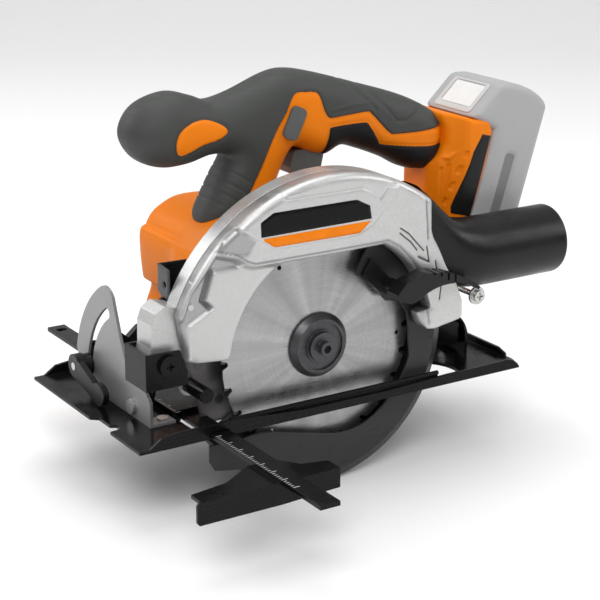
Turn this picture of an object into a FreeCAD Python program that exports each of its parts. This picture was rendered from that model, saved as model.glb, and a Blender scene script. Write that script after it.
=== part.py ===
import FreeCAD
import Part
import math
import os

V = FreeCAD.Vector
os.makedirs("parts", exist_ok=True)

# ---- driving dimensions, millimetres ----
# X runs rearwards, Y away from the blade side, Z up from the sole of the shoe.
spindle_z = 39.5            # spindle height above the sole
blade_radius = 70.0         # 140 mm blade
blade_half = 0.8            # half thickness of the blade body
tooth_count = 24
guard_radius = 114.0        # fixed guard, outside
guard_wall = 3.0
guard_face_y = -24.5        # near face of the fixed guard
guard_part_y = -10.5        # parting plane of the two guard castings
guard_back_y = 13.5         # gear side of the guard
moving_radius = 92.4        # moving guard, outside
moving_near_y = -8.4
moving_far_y = 8.4
shoe_front = -135.0
shoe_rear = 154.0
shoe_near = -18.0
shoe_far = 134.0
shoe_plate = 2.0
bevel_y = 36.0              # bevel axis runs along X through this point
bevel_z = 9.0
hinge_x = -114.0            # depth axis runs along Y through this point
hinge_z = 52.0
motor_x = -31.0             # motor axis
motor_z = 78.7
drum_radius = 41.0
drum_end = 108.0
idler_x = -14.26            # countershaft between motor and spindle
idler_z = 57.53
handle_y = 50.0             # middle plane of handle and battery
handle_half = 18.5
pack_half = 30.0
pack_lean = math.radians(17.0)
bar_half = 6.5              # fence bar, half width
bar_x = -81.0
fence_screw_y = 104.0
fit = 0.05                  # running fit, radial
gap = 0.4                   # gap between bodies that move past each other


def place(axis, level, a, b):
    if axis == "x":
        return V(level, a, b)
    if axis == "y":
        return V(a, level, b)
    return V(a, b, level)


def face_of(axis, level, start, steps):
    edges = []
    here = place(axis, level, *start)
    for step in steps:
        if isinstance(step, list):
            through = [here] + [place(axis, level, *point) for point in step]
            curve = Part.BSplineCurve()
            curve.interpolate(through)
            edges.append(curve.toShape())
            end = through[-1]
        elif isinstance(step[0], tuple):
            middle = place(axis, level, *step[0])
            end = place(axis, level, *step[1])
            edges.append(Part.Arc(here, middle, end).toShape())
        else:
            end = place(axis, level, *step)
            edges.append(Part.makeLine(here, end))
        here = end
    first = place(axis, level, *start)
    if here.distanceToPoint(first) > 1e-6:
        edges.append(Part.makeLine(here, first))
    return Part.Face(Part.Wire(edges))


def slab(axis, low, high, start, *steps):
    way = {"x": V(1, 0, 0), "y": V(0, 1, 0), "z": V(0, 0, 1)}[axis]
    return face_of(axis, low, start, steps).extrude(way * (high - low))


def rod_y(x, z, radius, y0, y1):
    return Part.makeCylinder(radius, y1 - y0, V(x, y0, z), V(0, 1, 0))


def tube_y(x, z, outer, inner, y0, y1):
    return rod_y(x, z, outer, y0, y1).cut(rod_y(x, z, inner, y0 - 1, y1 + 1))


def cone_y(x, z, r0, r1, y0, y1):
    return Part.makeCone(r0, r1, y1 - y0, V(x, y0, z), V(0, 1, 0))


def rod_x(y, z, radius, x0, x1):
    return Part.makeCylinder(radius, x1 - x0, V(x0, y, z), V(1, 0, 0))


def rod_z(x, y, radius, z0, z1):
    return Part.makeCylinder(radius, z1 - z0, V(x, y, z0), V(0, 0, 1))


def box(x0, x1, y0, y1, z0, z1):
    return Part.makeBox(x1 - x0, y1 - y0, z1 - z0, V(x0, y0, z0))


def join(first, *others):
    shape = first
    for other in others:
        shape = shape.fuse(other)
    return shape.removeSplitter()


def polar(cx, cz, radius, degrees):
    turn = math.radians(degrees)
    return (cx + radius * math.cos(turn), cz + radius * math.sin(turn))


def on_spindle(radius, degrees):
    return polar(0, spindle_z, radius, degrees)


def hexagon_y(x, z, across, y0, y1):
    corner = across / math.sqrt(3)
    corners = [polar(x, z, corner, 60 * i) for i in range(6)]
    return slab("y", y0, y1, corners[0], *corners[1:])


def hexagon_x(y, z, across, x0, x1):
    corner = across / math.sqrt(3)
    corners = [polar(y, z, corner, 60 * i) for i in range(6)]
    return slab("x", x0, x1, corners[0], *corners[1:])


def cross_recess_y(x, z, y0, y1):
    arm = box(x - 2.6, x + 2.6, y0, y1, z - 0.6, z + 0.6)
    return arm.fuse(box(x - 0.6, x + 0.6, y0, y1, z - 2.6, z + 2.6))


def screw_y(x, z, head, shank, y0, y_head, y1):
    body = rod_y(x, z, head, y0, y_head).fuse(rod_y(x, z, shank, y_head, y1))
    return body.cut(cross_recess_y(x, z, y0 - 1, y0 + 1.4))


def screw_rear_y(x, z, head, shank, y0, y_head, y1):
    # The same screw, driven from the far side.
    body = rod_y(x, z, shank, y0, y_head).fuse(rod_y(x, z, head, y_head, y1))
    return body.cut(cross_recess_y(x, z, y1 - 1.4, y1 + 1))


def gear_y(x, z, pitch, teeth, bore, y0, y1, phase):
    # Straight teeth with a slightly thin flank so the pair runs clear.
    outer = pitch + 0.65
    root = pitch - 1.15
    step = 360.0 / teeth
    points = []
    for i in range(teeth):
        turn = phase + i * step
        points.append(polar(x, z, root, turn - 0.30 * step))
        points.append(polar(x, z, outer, turn - 0.12 * step))
        points.append(polar(x, z, outer, turn + 0.12 * step))
        points.append(polar(x, z, root, turn + 0.30 * step))
    wheel = slab("y", y0, y1, points[0], *points[1:])
    return wheel.cut(rod_y(x, z, bore, y0 - 1, y1 + 1))


def bearing_y(x, z, outer, inner, y0, y1):
    middle = (outer + inner) / 2
    race_out = tube_y(x, z, outer, middle + 0.22 * (outer - inner), y0, y1)
    race_in = tube_y(x, z, middle - 0.22 * (outer - inner), inner, y0, y1)
    shield = tube_y(x, z, middle + 0.22 * (outer - inner),
                    middle - 0.22 * (outer - inner), y0 + 0.5, y1 - 0.5)
    return join(race_out, race_in, shield)


def leaned(x, z, along, out):
    # A point measured along and out from the leaning battery rail.
    return (x + along * math.sin(pack_lean) + out * math.cos(pack_lean),
            z + along * math.cos(pack_lean) - out * math.sin(pack_lean))


def save(name, *shapes):
    solids = []
    for shape in shapes:
        solids.extend(shape.Solids)
    whole = solids[0] if len(solids) == 1 else Part.makeCompound(solids)
    whole.exportStep("parts/" + name + ".step")
    print(name, len(solids), round(whole.Volume), whole.isValid())


# ---- blade, flanges and spindle ----

def make_blade():
    step = 360.0 / tooth_count
    points = []
    for i in range(tooth_count):
        turn = 90.0 + i * step
        points.append(on_spindle(blade_radius - 0.7, turn - 1.2))
        points.append(on_spindle(blade_radius - 3.4, turn - 0.4))
        points.append((on_spindle(blade_radius - 5.2, turn + 1.2),
                       on_spindle(blade_radius - 3.4, turn + 2.8)))
        points.append(on_spindle(blade_radius - 1.3, turn + 3.8))
        points.append(on_spindle(blade_radius - 0.9, turn + 8.0))
    disc = slab("y", -blade_half, blade_half, points[0], *points[1:])
    disc = disc.cut(rod_y(0, spindle_z, 10.0, -2, 2))
    for i in range(3):
        x, z = on_spindle(61.2, 117 + 120 * i)
        disc = disc.cut(rod_y(x, z, 1.5, -2, 2))
    return disc


def make_blade_tips():
    tips = []
    step = 360.0 / tooth_count
    for i in range(tooth_count):
        turn = 90.0 + i * step
        a = on_spindle(blade_radius, turn - 1.05)
        b = on_spindle(blade_radius - 3.0, turn - 0.45)
        c = on_spindle(blade_radius - 3.0, turn + 0.45)
        d = on_spindle(blade_radius - 0.15, turn + 0.1)
        tips.append(slab("y", -1.1, 1.1, a, b, c, d))
    return tips


blade = make_blade()
tips = make_blade_tips()
for tip in tips:
    blade = blade.cut(tip)
save("blade", blade)
save("blade_tips", *tips)

outer_flange = join(cone_y(0, spindle_z, 17.6, 21.0, -6.0, -2.4),
                    rod_y(0, spindle_z, 21.0, -2.4, -blade_half))
outer_flange = outer_flange.cut(tube_y(0, spindle_z, 15.6, 11.0, -7, -4.6))
outer_flange = outer_flange.cut(rod_y(0, spindle_z, 8.0 + fit, -7, 0))
save("flange_outer", outer_flange)

bolt_head = rod_y(0, spindle_z, 4.6, -13.0, -8.4)
bolt_head = bolt_head.cut(hexagon_y(0, spindle_z, 5.0, -14, -9.8))
blade_bolt = join(bolt_head, rod_y(0, spindle_z, 9.6, -8.4, -6.0),
                  rod_y(0, spindle_z, 4.0, -6.0, 12.0))
save("blade_bolt", blade_bolt)

inner_flange = join(tube_y(0, spindle_z, 20.0, 8.0 + fit, blade_half, 4.6),
                    tube_y(0, spindle_z, 9.95, 8.0 + fit, -blade_half, blade_half))
save("flange_inner", inner_flange)

spindle = join(rod_y(0, spindle_z, 8.0, -4.4, 11.2), rod_y(0, spindle_z, 6.0, 11.2, 30.0),
               rod_y(0, spindle_z, 3.0, 30.0, 35.8))
spindle = spindle.cut(rod_y(0, spindle_z, 4.0 + fit, -5, 12.6))
save("spindle", spindle)
save("spindle_gear", gear_y(0, spindle_z, 14.0, 28, 6.0 + fit, 22.0, 29.0, 0.0))
save("spindle_bearings", bearing_y(0, spindle_z, 14.0, 6.0 + fit, 12.0, 20.0),
     bearing_y(0, spindle_z, 9.5, 3.0 + fit, 30.4, 35.6))

# ---- countershaft and motor ----
mesh_two = math.degrees(math.atan2(idler_z - spindle_z, idler_x))
mesh_one = math.degrees(math.atan2(motor_z - idler_z, motor_x - idler_x))

idler_wheel = gear_y(idler_x, idler_z, 22.0, 44, 4.0, 37.0, 43.5, mesh_one)
teeth_offset = (mesh_two / (360.0 / 28)) % 1.0
idler_phase = mesh_two + 180.0 + (0.5 + teeth_offset) * 360.0 / 18
idler_small = gear_y(idler_x, idler_z, 9.0, 18, 4.0, 21.4, 29.6, idler_phase)
idler_shaft = join(rod_y(idler_x, idler_z, 4.0, 20.0, 44.0),
                   rod_y(idler_x, idler_z, 2.5, 14.4, 20.0),
                   rod_y(idler_x, idler_z, 2.5, 44.0, 48.4))
countershaft = join(idler_wheel.fuse(idler_small), idler_shaft)
save("countershaft", countershaft)
save("countershaft_bearings", bearing_y(idler_x, idler_z, 6.5, 2.5 + fit, 14.6, 19.4),
     bearing_y(idler_x, idler_z, 6.5, 2.5 + fit, 44.2, 48.2))

pinion_phase = mesh_one + 180.0 + 0.5 * 360.0 / 10
pinion = gear_y(motor_x, motor_z, 5.0, 10, 1.0, 36.6, 43.6, pinion_phase)
shaft = join(rod_y(motor_x, motor_z, 2.5, 36.0, 44.0), rod_y(motor_x, motor_z, 4.0, 44.0, 99.5),
             rod_y(motor_x, motor_z, 2.5, 99.5, 104.0), pinion)
save("motor_shaft", shaft)
save("motor_bearings", bearing_y(motor_x, motor_z, 11.0, 4.0 + fit, 45.0, 52.0),
     bearing_y(motor_x, motor_z, 8.0, 2.5 + fit, 99.7, 104.0))


def make_fan():
    hub = tube_y(motor_x, motor_z, 8.0, 4.0 + fit, 54.0, 60.5)
    plate = tube_y(motor_x, motor_z, 33.0, 7.5, 54.0, 55.4)
    shape = hub.fuse(plate)
    for i in range(12):
        blade_box = box(motor_x + 12, motor_x + 32.5, 55.0, 60.5, motor_z - 0.6, motor_z + 0.6)
        blade_box.rotate(V(motor_x, 0, motor_z), V(0, 1, 0), 30 * i)
        shape = shape.fuse(blade_box)
    return shape.removeSplitter()


save("motor_fan", make_fan())


def make_core():
    core = tube_y(motor_x, motor_z, 17.0, 4.0 + fit, 65.0, 88.0)
    for i in range(12):
        x, z = polar(motor_x, motor_z, 14.6, 30 * i)
        core = core.cut(rod_y(x, z, 1.9, 64, 89))
        x, z = polar(motor_x, motor_z, 17.0, 30 * i)
        slit = rod_y(x, z, 0.9, 64, 89)
        core = core.cut(slit)
    return core


save("armature_core", make_core())
winding_ends = [tube_y(motor_x, motor_z, 15.5, 5.5, 62.0, 65.0),
                tube_y(motor_x, motor_z, 15.5, 5.5, 88.0, 91.0)]
save("armature_windings", *winding_ends)


def make_commutator():
    drum = tube_y(motor_x, motor_z, 8.0, 4.0 + fit, 91.5, 98.5)
    for i in range(12):
        slot = box(motor_x + 7.2, motor_x + 9, 91, 99, motor_z - 0.25, motor_z + 0.25)
        slot.rotate(V(motor_x, 0, motor_z), V(0, 1, 0), 30 * i)
        drum = drum.cut(slot)
    return drum


save("commutator", make_commutator())
save("motor_can", tube_y(motor_x, motor_z, 28.0, 25.6, 62.5, 92.0))


def make_magnet(side):
    ring = tube_y(motor_x, motor_z, 25.5, 18.0, 64.0, 90.0)
    keep = box(motor_x - 23, motor_x + 23, 60, 95, motor_z, motor_z + 30)
    if side < 0:
        keep = box(motor_x - 23, motor_x + 23, 60, 95, motor_z - 30, motor_z)
    trimmed = ring.common(keep)
    return trimmed.cut(box(motor_x - 30, motor_x + 30, 60, 95, motor_z - 7, motor_z + 7))


save("motor_magnets", make_magnet(1), make_magnet(-1))
brush_card = tube_y(motor_x, motor_z, 28.0, 10.0, 92.4, 93.6)
left_holder = box(motor_x - 25, motor_x - 10, 93.6, 98.6, motor_z - 3.6, motor_z + 3.6)
right_holder = box(motor_x + 10, motor_x + 25, 93.6, 98.6, motor_z - 3.6, motor_z + 3.6)
left_bore = box(motor_x - 24, motor_x - 9, 94.4, 97.8, motor_z - 2.8, motor_z + 2.8)
right_bore = box(motor_x + 9, motor_x + 24, 94.4, 97.8, motor_z - 2.8, motor_z + 2.8)
brush_frame = join(brush_card, left_holder, right_holder).cut(left_bore).cut(right_bore)
save("brush_holder", brush_frame)
save("brushes", box(motor_x - 20, motor_x - 8.3, 94.6, 97.6, motor_z - 2.6, motor_z + 2.6),
     box(motor_x + 8.3, motor_x + 20, 94.6, 97.6, motor_z - 2.6, motor_z + 2.6))

# ---- fixed guard, two castings ----


def guard_blank(y0, y1, radius):
    side = math.degrees(math.atan2(40.5, -106.6))
    rear = math.degrees(math.asin(88.4 / radius)) if radius > 110 else 58.0
    first = on_spindle(radius, side)
    last = on_spindle(radius, rear)
    return slab("y", y0, y1, (-101.0, 52.0), first, (on_spindle(radius, 95), last),
                (73.0, 103.0), (91.0, 72.0), (98.0, 58.0), (97.0, 48.0),
                ((95.0, 45.5), (92.0, 45.5)), (75.0, 42.0), ((69.0, 43.0), (66.0, 50.0)),
                on_spindle(74.0, 22.0), (on_spindle(74.0, 41.0), (36.3, 104.0)),
                (-36.3, 104.0), (on_spindle(74.0, 150.0), on_spindle(74.0, 170.0)),
                (-76.0, 50.0))


def hinge_lug(y0, y1):
    return slab("y", y0, y1, (-112.5, 86.5), (-103.0, 84.0), (-100.5, 76.0), (-102.6, 50.0),
                ((-106.0, 42.5), (-114.0, 41.4)), ((-122.0, 45.0), (-124.4, 53.0)),
                (-121.6, 62.0), (-121.2, 76.0), (-118.6, 82.6))


recess_low = [(-96.0, 40.0), (-99.0, 70.0), (-92.0, 98.0), (-83.0, 112.0), (-69.0, 111.6),
              (-60.0, 106.8), (39.0, 106.8), (48.0, 101.0), (60.0, 86.0), (66.0, 76.0),
              (62.0, 60.0), (60.0, 40.0)]


def make_guard_near():
    shape = guard_blank(guard_face_y, guard_part_y, guard_radius)
    recess = slab("y", guard_face_y - 1, -17.5, recess_low[0], *recess_low[1:])
    shape = shape.cut(recess)
    bowl = rod_y(0, spindle_z, guard_radius - guard_wall, guard_face_y + guard_wall, -10)
    high = slab("y", -22, -10, (-100, 116), (-69, 115.5), (-60, 110.5), (42, 110.5),
                (52, 104), (64, 90), (120, 90), (120, 170), (-120, 170), (-120, 116))
    low = rod_y(0, spindle_z, guard_radius - guard_wall, -14.5, -10)
    shape = shape.cut(bowl.common(high)).cut(low)
    shape = shape.fuse(hinge_lug(-14.6, guard_part_y))
    shape = shape.cut(rod_y(hinge_x, hinge_z, 4.0 + fit, -30, 30))
    for x, z in guard_screw_spots:
        boss = rod_y(x, z, 5.0, guard_face_y + 2.0, guard_part_y)
        shape = shape.fuse(boss.common(rod_y(0, spindle_z, guard_radius, -30, 0)))
        shape = shape.cut(rod_y(x, z, 2.0 + fit, -20.0, -9))
    return shape.removeSplitter()


guard_screw_spots = [on_spindle(109.5, turn) for turn in (59.0, 113.5, 155.0)]


def make_guard_far():
    front = guard_blank(guard_part_y, 1.0, guard_radius)
    back = guard_blank(1.0, guard_back_y, 104.0)
    floor = slab("y", 10.2, guard_back_y, (-99.0, 70.0), (-86.0, 44.0), (-78.0, 14.0),
                 (-72.0, 12.6), (-69.0, 4.5),
                 (-52.0, 6.0), ((-45.0, 8.0), (-40.0, 14.0)), (-30.0, 14.0),
                 (on_spindle(25.0, 270), (30.0, 20.0)), (80.0, 36.0), (84.0, 60.0), (60.0, 110.0),
                 (-60.0, 110.0), (-96.0, 80.0))
    shape = front.fuse(back).fuse(floor)
    cavity = rod_y(0, spindle_z, guard_radius - guard_wall, guard_part_y - 1, -2.0)
    deep = rod_y(0, spindle_z, 101.0, -3.0, 10.2)
    hollow = cavity.fuse(deep)
    for x, z in guard_screw_spots:
        hollow = hollow.cut(rod_y(x, z, 5.0, -20, 1.0))
    shape = shape.cut(hollow)
    shape = shape.fuse(hinge_lug(guard_part_y, 7.6))
    return shape


def case_outline(grow, y0, y1):
    first = rod_y(0, spindle_z, 20.5 + grow, y0, y1)
    second = rod_y(idler_x, idler_z, 23.6 + grow, y0, y1)
    third = rod_y(motor_x, motor_z, 36.0 + grow, y0, y1)
    bridge = slab("y", y0, y1, (16.5 + grow * 0.8, 51.0), (1.0, 96.0), (-44.0, 50.0),
                  (-14.0, 26.0 - grow * 0.8))
    return first.fuse(second).fuse(third).fuse(bridge).removeSplitter()


def make_gear_case():
    shape = make_guard_far()
    shape = shape.fuse(case_outline(3.0, guard_back_y, 44.0))
    shape = shape.cut(case_outline(0.0, 20.6, 44.5))
    shape = shape.fuse(tube_y(0, spindle_z, 18.0, 14.0 + fit, 9.0, 20.6))
    shape = shape.fuse(tube_y(idler_x, idler_z, 9.5, 6.5 + fit, 13.5, 20.6)
                       .cut(rod_y(0, spindle_z, 17.0, 9, 22)))
    shape = shape.cut(rod_y(0, spindle_z, 14.0 + fit, 11.8, 20.6))
    shape = shape.cut(rod_y(0, spindle_z, 9.0, 5, 22))
    shape = shape.cut(rod_y(idler_x, idler_z, 6.5 + fit, 14.4, 20.6))
    shape = shape.cut(rod_y(hinge_x, hinge_z, 4.0 + fit, -30, 30))
    for x, z in guard_screw_spots:
        shape = shape.cut(rod_y(x, z, 2.0 + fit, guard_part_y - 1, 2.0))
    for x, z in wall_screw_spots:
        shape = shape.cut(rod_y(x, z, 1.8 + fit, 9, 15))
    stop_x, stop_z = stop_spot
    shape = shape.cut(rod_y(stop_x, stop_z, 3.0 + fit, 9, 15))
    for x, z in case_screw_spots:
        ear = rod_y(x, z, 5.0, 36.0, 44.0)
        shape = shape.fuse(ear.cut(case_outline(0.0, 30, 46)))
        shape = shape.cut(rod_y(x, z, 2.0 + fit, 35.0, 45.0))
    x, z = depth_spot
    arm = slab("y", guard_back_y, 19.0, (16.0, 38.0), (x, z - 8.0), ((x + 8.0, z), (x, z + 8.0)),
               (14.0, 74.0))
    shape = shape.fuse(rod_y(x, z, 8.0, 10.4, 21.6)).fuse(arm)
    seat = rod_y(0, spindle_z, 20.8, 30.2, 36.0).cut(rod_y(idler_x, idler_z, 11.0, 30, 37))
    shape = shape.cut(case_outline(0.0, 20.6, 44.5)).fuse(seat)
    shape = shape.cut(rod_y(0, spindle_z, 9.5 + fit, 30.0, 37.0))
    shape = shape.cut(rod_y(x, z, 3.0 + fit, 14.0, 22.0))
    return shape.removeSplitter()


depth_spot = (95.0, 56.0)
wall_screw_spots = [(-80.0, 38.0), (-66.0, 13.0)]
stop_spot = (-86.0, 26.0)
case_screw_spots = [(-65.4, 54.6), (19.0, 60.0)]

guard_near = make_guard_near()
save("guard_near", guard_near)
gear_case = make_gear_case()
stop_x, stop_z = stop_spot
pad = rod_y(stop_x, stop_z, 7.0, 10.2, guard_back_y).cut(rod_y(stop_x, stop_z, 3.0 + fit, 9, 15))
gear_case = gear_case.fuse(pad).removeSplitter()
save("gear_case", gear_case)

housing_screws = []
for x, z in guard_screw_spots:
    housing_screws.append(screw_rear_y(x, z, 3.2, 2.0, -19.0, 1.0, 3.6))
for x, z in case_screw_spots:
    housing_screws.append(screw_rear_y(x, z, 3.2, 2.0, 38.0, 49.0, 51.6))
save("housing_screws", *housing_screws)
save("wall_screws", *[join(rod_y(x, z, 3.0, 8.9, 10.2), rod_y(x, z, 1.8, 10.2, 14.0))
                      for x, z in wall_screw_spots])
stop_stud = join(rod_y(stop_x, stop_z, 4.7, -12.5, 10.1), rod_y(stop_x, stop_z, 3.0, 10.1, 16.0))
save("guard_stop_stud", stop_stud)


def make_case_cover():
    plate = case_outline(3.0, 44.0, 49.0)
    for x, z in case_screw_spots:
        plate = plate.fuse(rod_y(x, z, 5.0, 44.0, 49.0))
    plate = plate.fuse(rod_y(motor_x, motor_z, 14.0, 44.0, 52.0))
    plate = plate.cut(rod_y(motor_x, motor_z, 11.0 + fit, 45.0, 53.0))
    plate = plate.cut(rod_y(motor_x, motor_z, 7.0, 43.0, 46.0))
    plate = plate.cut(rod_y(idler_x, idler_z, 6.5 + fit, 43.5, 48.6))
    for x, z in case_screw_spots:
        plate = plate.cut(rod_y(x, z, 2.2, 43.0, 50.0))
    return plate.removeSplitter()


save("case_cover", make_case_cover())
def make_drum():
    wall = rod_y(motor_x, motor_z, drum_radius, 52.2, 100.0)
    wall = wall.fuse(cone_y(motor_x, motor_z, drum_radius, 34.0, 100.0, drum_end))
    wall = wall.cut(rod_y(motor_x, motor_z, drum_radius - 2.6, 50.0, 98.0))
    wall = wall.cut(cone_y(motor_x, motor_z, drum_radius - 2.6, 32.0, 98.0, drum_end - 2.6))
    disc = case_outline(3.0, 49.0, 52.4).fuse(rod_y(motor_x, motor_z, drum_radius, 49.0, 52.4))
    wall = wall.fuse(disc.cut(rod_y(motor_x, motor_z, drum_radius - 2.6, 48, 54)))
    seat = tube_y(motor_x, motor_z, 10.5, 8.0 + fit, 99.0, drum_end - 2.0)
    ring = tube_y(motor_x, motor_z, 39.0, 28.0 + fit, 70.0, 84.0)
    for i in range(4):
        x, z = polar(motor_x, motor_z, 33.4, 45 + 90 * i)
        ring = ring.cut(rod_y(x, z, 4.2, 69, 85))
    wall = wall.fuse(seat).fuse(ring)
    for i in range(9):
        vent = box(motor_x + 18, motor_x + 30.5, 103, 112, motor_z - 1.3, motor_z + 1.3)
        vent.rotate(V(motor_x, 0, motor_z), V(0, 1, 0), 40 * i + 10)
        wall = wall.cut(vent)
    for i in range(10):
        vent = box(motor_x + 36, motor_x + 44, 56.0, 64.0, motor_z - 1.6, motor_z + 1.6)
        vent.rotate(V(motor_x, 0, motor_z), V(0, 1, 0), 60 + 18 * i)
        wall = wall.cut(vent)
    for x, z in case_screw_spots:
        wall = wall.cut(rod_y(x, z, 5.4, 48.0, 54.0))
    return wall.removeSplitter()


save("motor_housing", make_drum())

# ---- moving guard ----


def guard_turn(points):
    return [on_spindle(radius, turn) for radius, turn in points]


def near_crescent(y0, y1, outer):
    wave = guard_turn([(64.6, 228.0), (57.6, 245.0), (56.6, 262.0), (60.6, 279.0),
                       (64.5, 294.0), (67.4, 320.0), (68.6, 345.0)])
    back = guard_turn([(65.0, 10.0), (61.0, 20.0), (52.0, 26.0), (50.0, 40.0), (50.0, 62.0)])
    return slab("y", y0, y1, (-82.5, -9.0), (-78.0, -9.0), (-62.0, -10.0), wave, *back,
                on_spindle(outer, 62.0), (on_spindle(outer, 0.0), on_spindle(outer, 300.0)),
                (on_spindle(outer, 270.0), on_spindle(outer, 236.0)),
                (-79.0, -26.0), (-82.5, -20.0))


def make_moving_guard():
    near = near_crescent(moving_near_y, moving_near_y + 1.6, 86.0)
    rim = tube_y(0, spindle_z, moving_radius, moving_radius - 2.2, -4.6, moving_far_y)
    skirt = cone_y(0, spindle_z, 85.0, moving_radius, moving_near_y, -4.6)
    skirt = skirt.cut(cone_y(0, spindle_z, 82.6, moving_radius - 2.2, moving_near_y, -4.6))
    sector = slab("y", -12, 12, (0, spindle_z), on_spindle(150, 62), on_spindle(150, 0),
                  on_spindle(150, 300), on_spindle(150, 250), on_spindle(150, 212.0),
                  on_spindle(60.0, 212.0))
    far_plate = tube_y(0, spindle_z, moving_radius, 62.0, moving_far_y - 1.8, moving_far_y)
    hub = tube_y(0, spindle_z, 27.0, 18.0 + fit, moving_far_y - 1.8, 10.0)
    spoke = slab("y", moving_far_y - 1.8, moving_far_y, (0, spindle_z), on_spindle(64, 62),
                 (on_spindle(64, 22), on_spindle(64, 338)))
    spoke = spoke.cut(rod_y(0, spindle_z, 22.5, 0, 20))
    shell = rim.fuse(skirt).fuse(far_plate).common(sector)
    shape = shell.fuse(near).fuse(hub).fuse(spoke)
    return shape.removeSplitter()


moving_guard = make_moving_guard()
save("lower_guard", moving_guard)


def make_lever():
    # Thumb lever: a foot screwed on the crescent, a neck through the window, a curved paddle.
    foot = slab("y", -11.4, moving_near_y, on_spindle(51.0, 32.0), on_spindle(62.5, 32.0),
                on_spindle(62.5, 58.0), on_spindle(51.0, 58.0))
    neck = slab("y", -27.0, -11.0, on_spindle(53.0, 33.0), on_spindle(62.0, 31.0),
                on_spindle(62.5, 38.0), on_spindle(54.0, 42.0))
    paddle = slab("y", -38.0, -26.0, (38.0, 70.5), (46.0, 68.0), (51.0, 69.5),
                  ((72.0, 76.5), (98.0, 69.0)), (99.5, 70.5), ((76.0, 83.0), (57.0, 86.0)),
                  (42.0, 82.0), (35.5, 75.5))
    shape = foot.fuse(neck).fuse(paddle)
    for i in range(4):
        turn = 62 + 5.5 * i
        groove = box(turn, turn + 1.6, -39, -25, 84.6 - 0.022 * (turn - 57) ** 2, 92)
        shape = shape.cut(groove)
    return shape.removeSplitter()


save("guard_lever", make_lever())


spring_coil = tube_y(0, spindle_z, 31.0, 29.0, 8.8, 10.0)
spring_tail = box(30.0, 52.0, 8.8, 10.0, spindle_z - 0.6, spindle_z + 0.6)
save("guard_spring", join(spring_coil, spring_tail))

# ---- shoe ----


def edge_flange(y0, y1):
    return slab("y", y0, y1, (-131.0, 0.0), (-120.0, 7.6), (-108.0, 9.0), (-70.0, 9.0),
                (-22.0, 5.4), (40.0, 5.0), (92.0, 6.6), (138.0, 7.0),
                ((147.0, 5.0), (151.0, 0.0)))


def make_shoe():
    plate = slab("z", 0, shoe_plate, (shoe_front, shoe_near), (shoe_front, 21.0),
                 (-127.5, 22.0), (-127.0, 29.0), (-130.5, 31.0), (-130.5, 46.0),
                 (shoe_front, 50.0), (shoe_front, shoe_far), (140.0, shoe_far),
                 ((150.0, 130.0), (shoe_rear, 120.0)), (shoe_rear, -6.0),
                 ((150.0, -14.0), (140.0, shoe_near)))
    slot = slab("z", -1, 12, (-91.0, -14.2), (-91.0, 18.4), (104.0, 18.4),
                ((110.0, 1.0), (104.0, -14.2)))
    shape = plate.cut(slot)
    shape = shape.fuse(edge_flange(shoe_near, shoe_near + 2.0))
    shape = shape.fuse(edge_flange(shoe_far - 2.0, shoe_far))
    rail = box(-72.0, 84.0, -15.8, -14.2, 0, 8.4)
    bead = rod_x(-15.4, 8.6, 1.5, -72.0, 84.0)
    shape = shape.fuse(rail).fuse(bead)
    rear_lip = slab("x", shoe_rear - 2.0, shoe_rear, (0.0, 0.0), (0.0, 4.0), (8.0, 6.5),
                    (112.0, 6.5), (118.0, 0.0))
    shape = shape.fuse(rear_lip)
    hat = box(bar_x - 11.5, bar_x + 11.5, 20.0, shoe_far, 0, 6.4)
    shape = shape.fuse(hat)
    channel = box(bar_x - bar_half - 0.35, bar_x + bar_half + 0.35, -30, 150, 0.6, 4.2)
    under = box(bar_x - bar_half - 0.35, bar_x + bar_half + 0.35, -30, 150, -1, 4.2)
    shape = shape.cut(channel).cut(under)
    ear = slab("x", 132.0, 134.0, (18.0, 1.0), (18.0, 18.0), ((24.0, 25.0), (33.0, 26.5)),
               ((50.0, 22.0), (54.0, 9.0)), (54.0, 1.0))
    shape = shape.fuse(ear)
    shape = shape.cut(rod_x(bevel_y, bevel_z, 4.0 + fit, 126.0, 140.0))
    boss_top = rod_z(bar_x, fence_screw_y, 8.0, 4.2, 12.0)
    shape = shape.fuse(boss_top)
    shape = shape.cut(rod_z(bar_x, fence_screw_y, 2.5 + fit, 3.0, 14.0))
    for x, y in foot_rivet_spots:
        shape = shape.cut(rod_z(x, y, 2.0 + fit, -1, 3))
    return shape.removeSplitter()


foot_rivet_spots = [(-101.0, 17.5), (-104.0, 88.0)]
save("shoe", make_shoe())


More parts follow.
